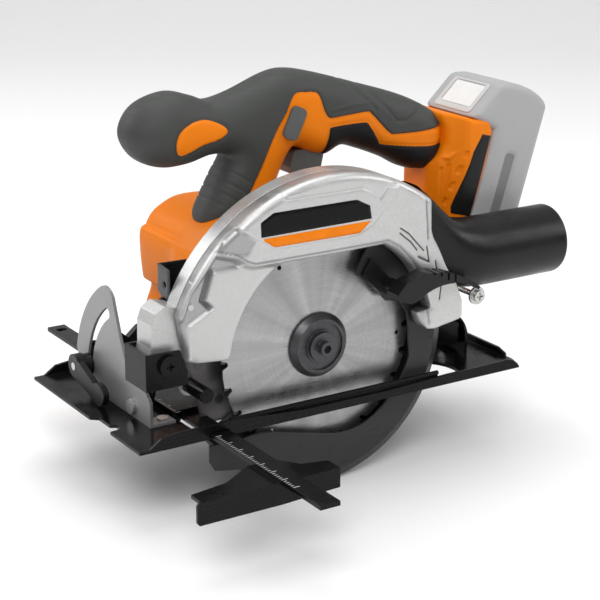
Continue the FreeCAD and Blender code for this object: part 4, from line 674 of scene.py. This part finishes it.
def makeGuardFace():
    # y(x, z) = the flat face, less each raised area and plus each sunk one, where an area's share
    # eases from 0 to 1 over its slope either side of the area's outline
    look = guardShape
    window = look["window"]
    side = math.atan2(40.5, -106.6)
    rear = math.asin(88.4 / look["outer"])
    sweep = np.linspace(side, rear, 120)
    arc = np.stack([look["outer"] * np.cos(sweep), spindleZ + look["outer"] * np.sin(sweep)], 1)
    tail = np.array([(73.0, 103.0), (91.0, 72.0), (98.0, 58.0), (97.6, 48.0), (95.0, 45.8), (92.0, 45.2),
                     (75.0, 42.6), (69.6, 43.4), (66.4, 47.0), (64.0, 54.0)])
    inner = np.radians(np.linspace(14.0, 61.0, 20))
    right = np.stack([window * np.cos(inner), spindleZ + window * np.sin(inner)], 1)
    inner = np.radians(np.linspace(119.5, 172.0, 24))
    left = np.stack([window * np.cos(inner), spindleZ + window * np.sin(inner)], 1)
    loop = np.concatenate([arc, tail, right, left, [(-76.0, 48.6), (-101.0, 51.0)]])

    def area(key, x, z, low, high):
        return ease(nearestOnLoop(x, z, look[key])[0], low, high)

    def heights(x, z, angle):
        face = np.full(x.shape, look["face"])
        sunk = area("recess", x, z, -0.4, look["recessSlope"])
        face += (look["recessFloor"] - look["face"]) * sunk
        face -= look["panelLift"] * area("panel", x, z, -0.4, 0.9) * sunk
        face += (look["pocketFloor"] - look["recessFloor"]) * area("pocket", x, z, -0.4, 0.8)
        face -= look["padLift"] * area("pad", x, z, -0.9, 0.7)
        face -= look["padLift"] * area("cap", x, z, -0.9, 0.7)
        facet = area("facet", x, z, -0.8, 0.8)
        face += facet * np.clip((-60.0 - x) * 0.16 + (121.0 - z) * 0.05, 0.2, 3.4)
        for path in look["grooves"]:
            face += 0.9 * besidePath(x, z, path, 1.2, 0.8)
        for path in look["arrows"]:
            face += 0.5 * besidePath(x, z, path, 1.3, 0.7)
        outside = ease(np.hypot(x, z - spindleZ), 96.0, 100.0)
        roll = look["round"] * outside + 1.0 * (1 - outside)
        face = face + roll * (1 - np.sin(angle))
        back = np.minimum(face + look["wall"], look["part"])
        rim = ease(np.hypot(x, z - spindleZ), look["outer"] - 5.0, look["outer"] - 3.6)
        rim = np.maximum(rim, 1 - ease(np.hypot(x, z - spindleZ), 75.5, 77.0))
        rim = np.maximum(rim, ease(x + 0.6 * z, 115.0, 118.0))
        return face, back + (look["part"] - back) * rim

    points, faces = twoSided(loop, [], look["step"], look["round"], heights)
    x, z = points[:, 0], points[:, 2]
    mark = np.full(len(points), -5.0)
    for path in look["arrows"]:
        mark = np.maximum(mark, 0.55 - nearestOnLoop(x, z, path, closed=False)[0])
    # painted shade: how much darker the cast face is drawn, stored as sunk, in the recess outside the panel,
    # the sloped facet, the pocket, the lower left wall and along the grooves
    sunk = 0.9 * area("recess", x, z, 0.0, 3.0) * (1 - area("panel", x, z, -1.0, 0.6))
    sunk = np.maximum(sunk, area("facet", x, z, -0.6, 0.6))
    sunk = np.maximum(sunk, 1.7 * area("pocket", x, z, -0.8, 0.6))
    lower = ease(-x, 101.4, 103.0) * ease(-z, -74.0, -68.0)
    sunk = np.maximum(sunk, 1.3 * lower)
    for path in look["grooves"]:
        sunk = np.maximum(sunk, 1.8 * besidePath(x, z, path, 1.3, 0.7))
    makePiece("guardFace", points, faces, "castShadedMarked", "saw", "cast_aluminium", ("guard_near",),
              engraved=mark, sunk=sunk - 1.0)
    print("guard face made,", len(faces), "faces")


labelShape = {
    "black": [(-55.0, 131.6), (-46.0, 136.6), (13.0, 136.6), (22.6, 131.6), (24.0, 123.2), (-54.6, 122.6)],
    "orange": [(-54.6, 121.6), (-45.4, 115.4), (15.4, 115.2), (23.6, 121.9)],
    "level": -24.62, "thick": 0.35,
}


def makeLabel():
    # two flat plates with softly rounded corners, lying on the pad
    for key, finish, slot in (("black", "labelBlack", "black_plastic"),
                              ("orange", "labelOrange", "orange_plastic")):
        loop = np.array(labelShape[key])

        def heights(x, z, angle):
            near = labelShape["level"] - labelShape["thick"] * np.sin(angle)
            return near, np.full(x.shape, labelShape["level"] + 0.3)

        points, faces = twoSided(loop, [], 1.6, 0.5, heights)
        makePiece("guardLabel_" + key, points, faces, finish, "saw", slot)
    print("label made")


# battery pack with its long side channel

packShape = {
    "half": 29.6, "round": 4.2, "step": 1.1, "lean": math.radians(17.0), "railX": 142.5, "railZ": 120.0,
    "top": [(137.4, 164.6), (159.0, 184.6), (163.0, 185.3), (170.0, 184.8), (179.0, 182.0), (187.0, 178.4),
            (193.6, 173.6), (197.6, 169.6), (199.2, 165.6)],
    "channel": [(-44.0, 15.0), (22.0, 15.0), (25.0, 16.6), (25.0, 23.0), (23.0, 25.0), (-44.0, 25.0)],
    "channelDepth": 1.3,
    "seam": [(-44.0, 5.0), (34.0, 5.0), (44.0, 14.0)],
}


def fromRail(along, out):
    # a point measured along and out from the leaning battery rail
    look = packShape
    return (look["railX"] + along * math.sin(look["lean"]) + out * math.cos(look["lean"]),
            look["railZ"] + along * math.cos(look["lean"]) - out * math.sin(look["lean"]))


def makePack():
    # sides drawn in by the round near every edge, with a long channel pressed into each side
    look = packShape
    low = [fromRail(36.8, 0.5), fromRail(-44.6, 0.5), fromRail(-44.6, 41.0)]
    loop = np.array(look["top"][::-1] + low)
    channel = [fromRail(*spot) for spot in look["channel"]]
    seam = [fromRail(*spot) for spot in look["seam"]]

    def heights(x, z, angle):
        half = look["half"] - look["channelDepth"] * ease(nearestOnLoop(x, z, channel)[0], -0.6, 0.8)
        half -= 0.6 * besidePath(x, z, seam, 1.3, 0.7)
        bulge = half - look["round"] * (1 - np.sin(angle))
        return handleY - bulge, handleY + bulge

    points, faces = twoSided(loop, [], look["step"], look["round"], heights)
    points = relax(points, faces, 2)
    inside = nearestOnLoop(points[:, 0], points[:, 2], channel)[0]
    makePiece("batteryShell", points, faces, "batteryZoned", "battery", "battery_grey",
              ("pack_shell_near", "pack_shell_far"), strip=inside - 1.0)
    print("battery shell made")


# pale tray round the release button, on the sloping end of the pack

trayShape = {
    "foot": (137.4, 164.6), "head": (159.0, 184.6),      # x, z of the slope it lies on
    "along": (2.4, 27.6), "across": (30.5, 69.5),
    "buttonAlong": (6.6, 26.0), "buttonAcross": (33.9, 66.1),
    "sunk": 0.3, "proud": 0.7,
}


def makeTray():
    # drawn flat, along the slope and across the pack, then laid on the slope:
    # place = foot + along * slope way + height * outward way
    look = trayShape

    def corners(along, across):
        (a0, a1), (b0, b1) = look[along], look[across]
        cut = 1.6
        return np.array([(a0 + cut, b0), (a1 - cut, b0), (a1, b0 + cut), (a1, b1 - cut),
                         (a1 - cut, b1), (a0 + cut, b1), (a0, b1 - cut), (a0, b0 + cut)])

    def heights(x, z, angle):
        roll = 0.3 * (1 - np.sin(angle))
        return np.full(x.shape, -look["sunk"]), look["proud"] - roll

    flat, faces = twoSided(corners("along", "across"), [corners("buttonAlong", "buttonAcross")], 0.9, 0.4,
                           heights)
    (footX, footZ), (headX, headZ) = look["foot"], look["head"]
    length = math.hypot(headX - footX, headZ - footZ)
    wayX, wayZ = (headX - footX) / length, (headZ - footZ) / length
    points = np.stack([footX + flat[:, 0] * wayX - flat[:, 1] * wayZ, flat[:, 2],
                       footZ + flat[:, 0] * wayZ + flat[:, 1] * wayX], axis=1)
    makePiece("buttonTray", points, faces[:, ::-1], "tray", "battery", "battery_grey")
    print("button tray made")


# foot that carries the pack: flared block with moulded flutes and two side strips

footShape = {
    "loop": [(110.7, 132.0), (112.6, 136.0), (117.5, 141.0), (120.6, 149.0), (120.4, 158.0), (117.6, 164.4),
             (118.4, 168.6), (123.0, 168.0), (130.0, 166.2), (137.0, 163.4), (152.6, 154.8), (134.4, 92.4),
             (128.0, 91.0), (112.6, 92.0), (110.4, 100.0)],
    "widths": ((110.0, 14.0), (112.6, 15.6), (116.0, 19.4), (121.0, 20.6), (126.0, 23.4), (131.0, 27.4),
               (134.0, 29.0), (141.0, 29.6)),
    "round": 3.0, "step": 0.56,
    "flutes": [[(117.6, 131.0), (117.6, 98.0)], [(122.4, 133.0), (120.4, 96.0)]],
    "facet": [(116.6, 139.2), (127.2, 143.0), (122.6, 136.2)],
    "vents": ((132.4, 141.4), (121.0, 108.0), 3),
    "strip": [(143.4, 153.4), (150.4, 151.6), (135.4, 98.6), (124.4, 100.6), (124.2, 105.2), (136.9, 142.3)],
}


def makeFoot():
    # half width grows towards the pack; flutes are cosine dips beside fixed lines, the vents are
    # short dips repeated along a line
    look = footShape
    loop = smoothLoop(look["loop"], 3)
    spots, widths = np.array(look["widths"]).T
    (startX, startZ), (endX, endZ), count = look["vents"]

    def heights(x, z, angle):
        half = np.interp(x, spots, widths)
        for line in look["flutes"]:
            half -= 1.3 * besidePath(x, z, line, 1.25, 1.5)
        half += 1.5 * ease(nearestOnLoop(x, z, look["facet"])[0], -0.6, 1.4)
        run = ((x - startX) * (endX - startX) + (z - startZ) * (endZ - startZ)) / (
            (endX - startX) ** 2 + (endZ - startZ) ** 2)
        offX = x - startX - run * (endX - startX)
        offZ = z - startZ - run * (endZ - startZ)
        dash = ease(np.cos(2 * math.pi * run * count), -0.1, 0.4) * (run > -0.04) * (run < 1.04)
        half -= 1.2 * dash * (1 - ease(np.hypot(offX, offZ), 0.9, 1.5))
        bulge = half - look["round"] * (1 - np.sin(angle))
        return handleY - bulge, handleY + bulge

    points, faces = twoSided(loop, [], look["step"], look["round"], heights)
    points = relax(points, faces, 1)
    makePiece("packFoot", points, faces, "orange", "saw", "orange_plastic")
    normals = pointNormals(points, faces)
    area = nearestOnLoop(points[:, 0], points[:, 2], look["strip"])[0]
    skin, quads = layerOver(points, faces, normals, area, 0.5, 0.8)
    thicken(makePiece("footStrips", skin, quads, "black", "saw", "black_plastic"), 0.8)
    print("foot made")


# dust outlet: a tall flare on the guard's rear edge that turns into a round tube

portShape = {
    "turns": 96,
    # x, centre y, centre z, half width across y, half height, squareness
    "sections": [(66.0, -5.0, 96.0, 17.0, 30.0, 4.0), (72.0, -5.0, 95.0, 17.6, 28.0, 4.0),
                 (82.0, -5.0, 91.5, 18.4, 25.5, 3.4), (92.0, -5.0, 88.0, 19.6, 23.6, 2.8),
                 (102.0, -5.0, 85.0, 21.4, 22.8, 2.3), (112.0, -5.0, 83.6, 22.7, 22.8, 2.05),
                 (122.0, -5.0, 83.3, 23.0, 23.0, 2.0), (150.0, -5.0, 83.3, 23.0, 23.0, 2.0),
                 (178.6, -5.0, 83.3, 23.0, 23.0, 2.0), (179.6, -5.0, 83.3, 22.6, 22.6, 2.0),
                 (180.0, -5.0, 83.3, 21.9, 21.9, 2.0), (179.7, -5.0, 83.3, 21.0, 21.0, 2.0),
                 (178.6, -5.0, 83.3, 20.5, 20.5, 2.0), (150.0, -5.0, 83.3, 20.5, 20.5, 2.0),
                 (118.0, -5.0, 83.3, 20.5, 20.5, 2.0), (117.0, -5.0, 83.3, 0.0, 0.0, 2.0)],
}


def makeDustOutlet():
    # a ring for each section: y and z are powers of the cosine and sine of the turn, 2 / squareness,
    # so a high squareness gives a rounded box and 2 gives a circle
    look = portShape
    stops = np.array(look["sections"])
    place = np.linspace(0, len(stops) - 1, 5 * (len(stops) - 1) + 1)
    x, midY, midZ, wide, tall, square = (np.interp(place, np.arange(len(stops)), stops[:, k])[:, None]
                                         for k in range(6))
    turn = np.linspace(0, 2 * math.pi, look["turns"], endpoint=False)[None, :]
    power = 2 / square
    y = midY + wide * np.sign(np.cos(turn)) * np.abs(np.cos(turn)) ** power
    z = midZ + tall * np.sign(np.sin(turn)) * np.abs(np.sin(turn)) ** power
    lean = (96.0 - x).clip(0, None) * 0.34
    z = z + lean * ease(z, 84.0, 120.0)
    points = np.stack([x + 0 * y, y, z], axis=-1).reshape(-1, 3)
    faces = ringFaces(*y.shape)
    points = relax(points, faces, 2, 0.3)
    makePiece("dustOutlet", points, faces, "port", "saw", "black_plastic", ("dust_port",))
    print("dust outlet made")


# small sheet parts: the plate inside the guard, a grey sheet over the gear case floor darkened as painted
# shade, the drilled tab, the seal behind the hinge lug

sheetShapes = {
    # the plate inside the guard: a grey sheet in front of the gear case floor, darker to stand in for the
    # shade there
    "shadedInnerPlate": {"loop": [(-100.0, 66.0), (-96.0, 52.0), (-88.0, 40.0), (-79.0, 3.0), (-73.0, -1.2),
                            (-62.0, -1.2), (-52.0, 3.0), (-44.0, 12.0), (-20.0, 24.0), (40.0, 26.0),
                            (78.0, 40.0), (80.0, 60.0), (58.0, 106.0), (-58.0, 106.0), (-94.0, 78.0)],
                   "near": 9.1, "far": 9.9, "finish": "innerShadeSheet", "slot": "black_steel"},
    "tabBracket": {"loop": [(-103.0, 105.0), (-84.0, 104.6), (-84.0, 86.0), (-97.0, 84.4), (-103.0, 88.0)],
                   "near": 13.8, "far": 15.4, "finish": "paint", "slot": "black_steel"},
    "drilledTab": {"loop": [(1.6, 103.6), (14.6, 105.0), (14.6, 87.6), (12.0, 85.8), (2.6, 84.4),
                            (1.6, 86.0)],
                   "hole": (6.6, 93.6, 1.9), "turned": True,
                   "near": -103.2, "far": -101.6, "finish": "tabSheet", "slot": "black_steel"},
    "hingeSeal": {"loop": [(-100.5, 86.0), (-104.0, 85.0), (-114.0, 80.4), (-119.6, 70.0), (-119.0, 60.4),
                           (-112.0, 58.0), (-98.0, 62.0), (-92.0, 90.0)],
                  "near": 8.0, "far": 10.6, "finish": "black", "slot": "black_plastic"},
}


def makeSheets():
    # flat plates between two fixed levels, with a small round at every edge; a turned one is drawn
    # in y and z and stands across the saw, so its x and y change places
    for name, look in sheetShapes.items():
        def heights(x, z, angle):
            lift = 0.3 * (1 - np.sin(angle))
            return look["near"] + lift, look["far"] - lift

        holes = []
        if "hole" in look:
            across, up, radius = look["hole"]
            turn = np.linspace(0, 2 * math.pi, 20, endpoint=False)
            holes = [np.stack([across + radius * np.cos(turn), up + radius * np.sin(turn)], 1)]
        points, faces = twoSided(np.array(look["loop"]), holes, 0.9 if holes else 1.4, 0.5, heights)
        if look.get("turned"):
            points = points[:, [1, 0, 2]]
            faces = faces[:, ::-1]
        makePiece(name, points, faces, look["finish"], "saw", look["slot"])
    print("sheet parts made")


# printed scale marks: thin bars laid along a straight run, every fifth one longer

scaleShapes = {
    "fenceScale": {"start": (-87.2, -24.0), "step": -2.5, "count": 36, "level": 3.8,
                   "short": 2.0, "long": 4.2, "body": "rip_fence"},
    "soleScale": {"start": (-91.9, 18.0), "step": 2.5, "count": 26, "level": 6.4,
                  "short": 1.8, "long": 3.4, "body": "shoe"},
}


def makeScales():
    for name, look in scaleShapes.items():
        index = np.arange(look["count"])
        length = np.where(index % 5 == 0, look["long"], look["short"])
        x = np.full(len(index), look["start"][0])
        y = look["start"][1] + look["step"] * index
        half = 0.28                             # half the width of a mark, mm
        box = np.array([(0, -half, -0.02), (1, -half, -0.02), (1, half, -0.02), (0, half, -0.02),
                        (0, -half, 0.06), (1, -half, 0.06), (1, half, 0.06), (0, half, 0.06)])
        height = look["level"] + np.broadcast_to(box[None, :, 2], (len(x), 8))
        points = np.stack([x[:, None] + box[None, :, 0] * length[:, None],
                           y[:, None] + box[None, :, 1], height], axis=-1).reshape(-1, 3)
        sides = np.array([(3, 2, 1, 0), (4, 5, 6, 7), (0, 1, 5, 4), (1, 2, 6, 5), (2, 3, 7, 6), (3, 0, 4, 7)])
        faces = (index[:, None, None] * 8 + sides[None]).reshape(-1, 4)
        piece = makePiece(name, points, faces, "scaleWhite", look["body"], "black_steel")
        piece.data.polygons.foreach_set("use_smooth", np.zeros(len(faces), bool))
    print("scale marks made")


makeHandle()
makeMotorCover()
makeGuardFace()
makeLabel()
makePack()
makeTray()
makeFoot()
makeDustOutlet()
makeSheets()
makeScales()

# stage, lights and camera

stageLook = {
    "floorZ": -54.0, "floorTone": (0.93, 0.93, 0.93), "worldPower": 0.62,
    "forward": (0.5339, 0.8455, 0.0),           # the way the floor runs, away from the viewer
    "sky": ((0.0, 0.30), (0.12, 0.34), (0.45, 0.80), (0.8, 1.0)),
    # name, place, size in metres, watts
    "lights": (("keyLight", (-0.9, -1.2, 1.5), 1.1, 16.0), ("topLight", (0.2, 0.3, 1.9), 1.6, 15.0),
               ("sideLight", (1.5, -0.9, 0.9), 1.0, 8.0), ("backLight", (-0.9, 1.3, 1.0), 1.0, 8.0)),
    "aim": (0.02, 0.03, 0.06),
}


def makeFloor():
    # a flat sheet that curves up behind the saw: a profile carried sideways
    turn = np.linspace(0, math.pi / 2, 17)
    back = np.concatenate([[-4.0, 1.6], 1.6 + 1.5 * np.sin(turn[1:]), [3.1]])
    up = np.concatenate([[0.0, 0.0], 1.5 - 1.5 * np.cos(turn[1:]), [4.0]])
    side = np.linspace(-6.0, 6.0, 7)
    across, along = np.meshgrid(side, np.arange(len(back)))
    forward = Vector(stageLook["forward"])
    rightward = Vector((forward.y, -forward.x, 0.0))
    x = rightward.x * across + forward.x * back[along]
    y = rightward.y * across + forward.y * back[along]
    z = up[along] + stageLook["floorZ"] * mm
    points = np.stack([x, y, z], axis=-1).reshape(-1, 3)
    columns = len(side)
    rows = len(back)
    first = (np.arange(rows - 1)[:, None] * columns + np.arange(columns - 1)[None, :]).ravel()
    faces = np.stack([first, first + 1, first + columns + 1, first + columns], axis=1)
    mesh = bpy.data.meshes.new("floor")
    mesh.from_pydata(points.tolist(), [], faces.tolist())
    mesh.polygons.foreach_set("use_smooth", [True] * len(faces))
    floor = bpy.data.objects.new("floor", mesh)
    bpy.context.collection.objects.link(floor)
    material = bpy.data.materials.new("paleFloor")
    material.use_nodes = True
    shader = material.node_tree.nodes["Principled BSDF"]
    shader.inputs["Base Color"].default_value = stageLook["floorTone"] + (1.0,)
    shader.inputs["Roughness"].default_value = 0.9
    shader.inputs["Specular IOR Level"].default_value = 0.1
    mesh.materials.append(material)


def makeLights():
    for name, spot, size, power in stageLook["lights"]:
        data = bpy.data.lights.new(name, "AREA")
        data.shape = "DISK"
        data.size = size
        data.energy = power
        lamp = bpy.data.objects.new(name, data)
        lamp.location = spot
        aim = Vector(stageLook["aim"]) - Vector(spot)
        lamp.rotation_euler = aim.to_track_quat("-Z", "Y").to_euler()
        bpy.context.collection.objects.link(lamp)
    world = bpy.data.worlds.new("studio")
    world.use_nodes = True
    sky = world.node_tree.nodes["Background"]
    way = addNode(world.node_tree, "ShaderNodeTexCoord")
    split = addNode(world.node_tree, "ShaderNodeSeparateXYZ")
    wire(world.node_tree, way, "Generated", split, "Vector")
    height = rampNode(world.node_tree, (split, "Z"), stageLook["sky"])
    wire(world.node_tree, height, "Color", sky, "Color")
    sky.inputs["Strength"].default_value = stageLook["worldPower"]
    bpy.context.scene.world = world


cameraLook = {"lens": 102.0, "place": (-0.5483, -0.8487, 0.3925), "way": (0.50844, 0.80511, -0.30542)}


def makeCamera():
    data = bpy.data.cameras.new("camera")
    data.lens = cameraLook["lens"]
    data.sensor_width = 36.0
    data.clip_start = 0.05
    data.clip_end = 20.0
    camera = bpy.data.objects.new("camera", data)
    camera.location = cameraLook["place"]
    camera.rotation_euler = Vector(cameraLook["way"]).to_track_quat("-Z", "Y").to_euler()
    bpy.context.collection.objects.link(camera)
    bpy.context.scene.camera = camera


makeFloor()
makeLights()
makeCamera()
bpy.context.scene.view_settings.view_transform = "Standard"
print("stage, lights and camera set")
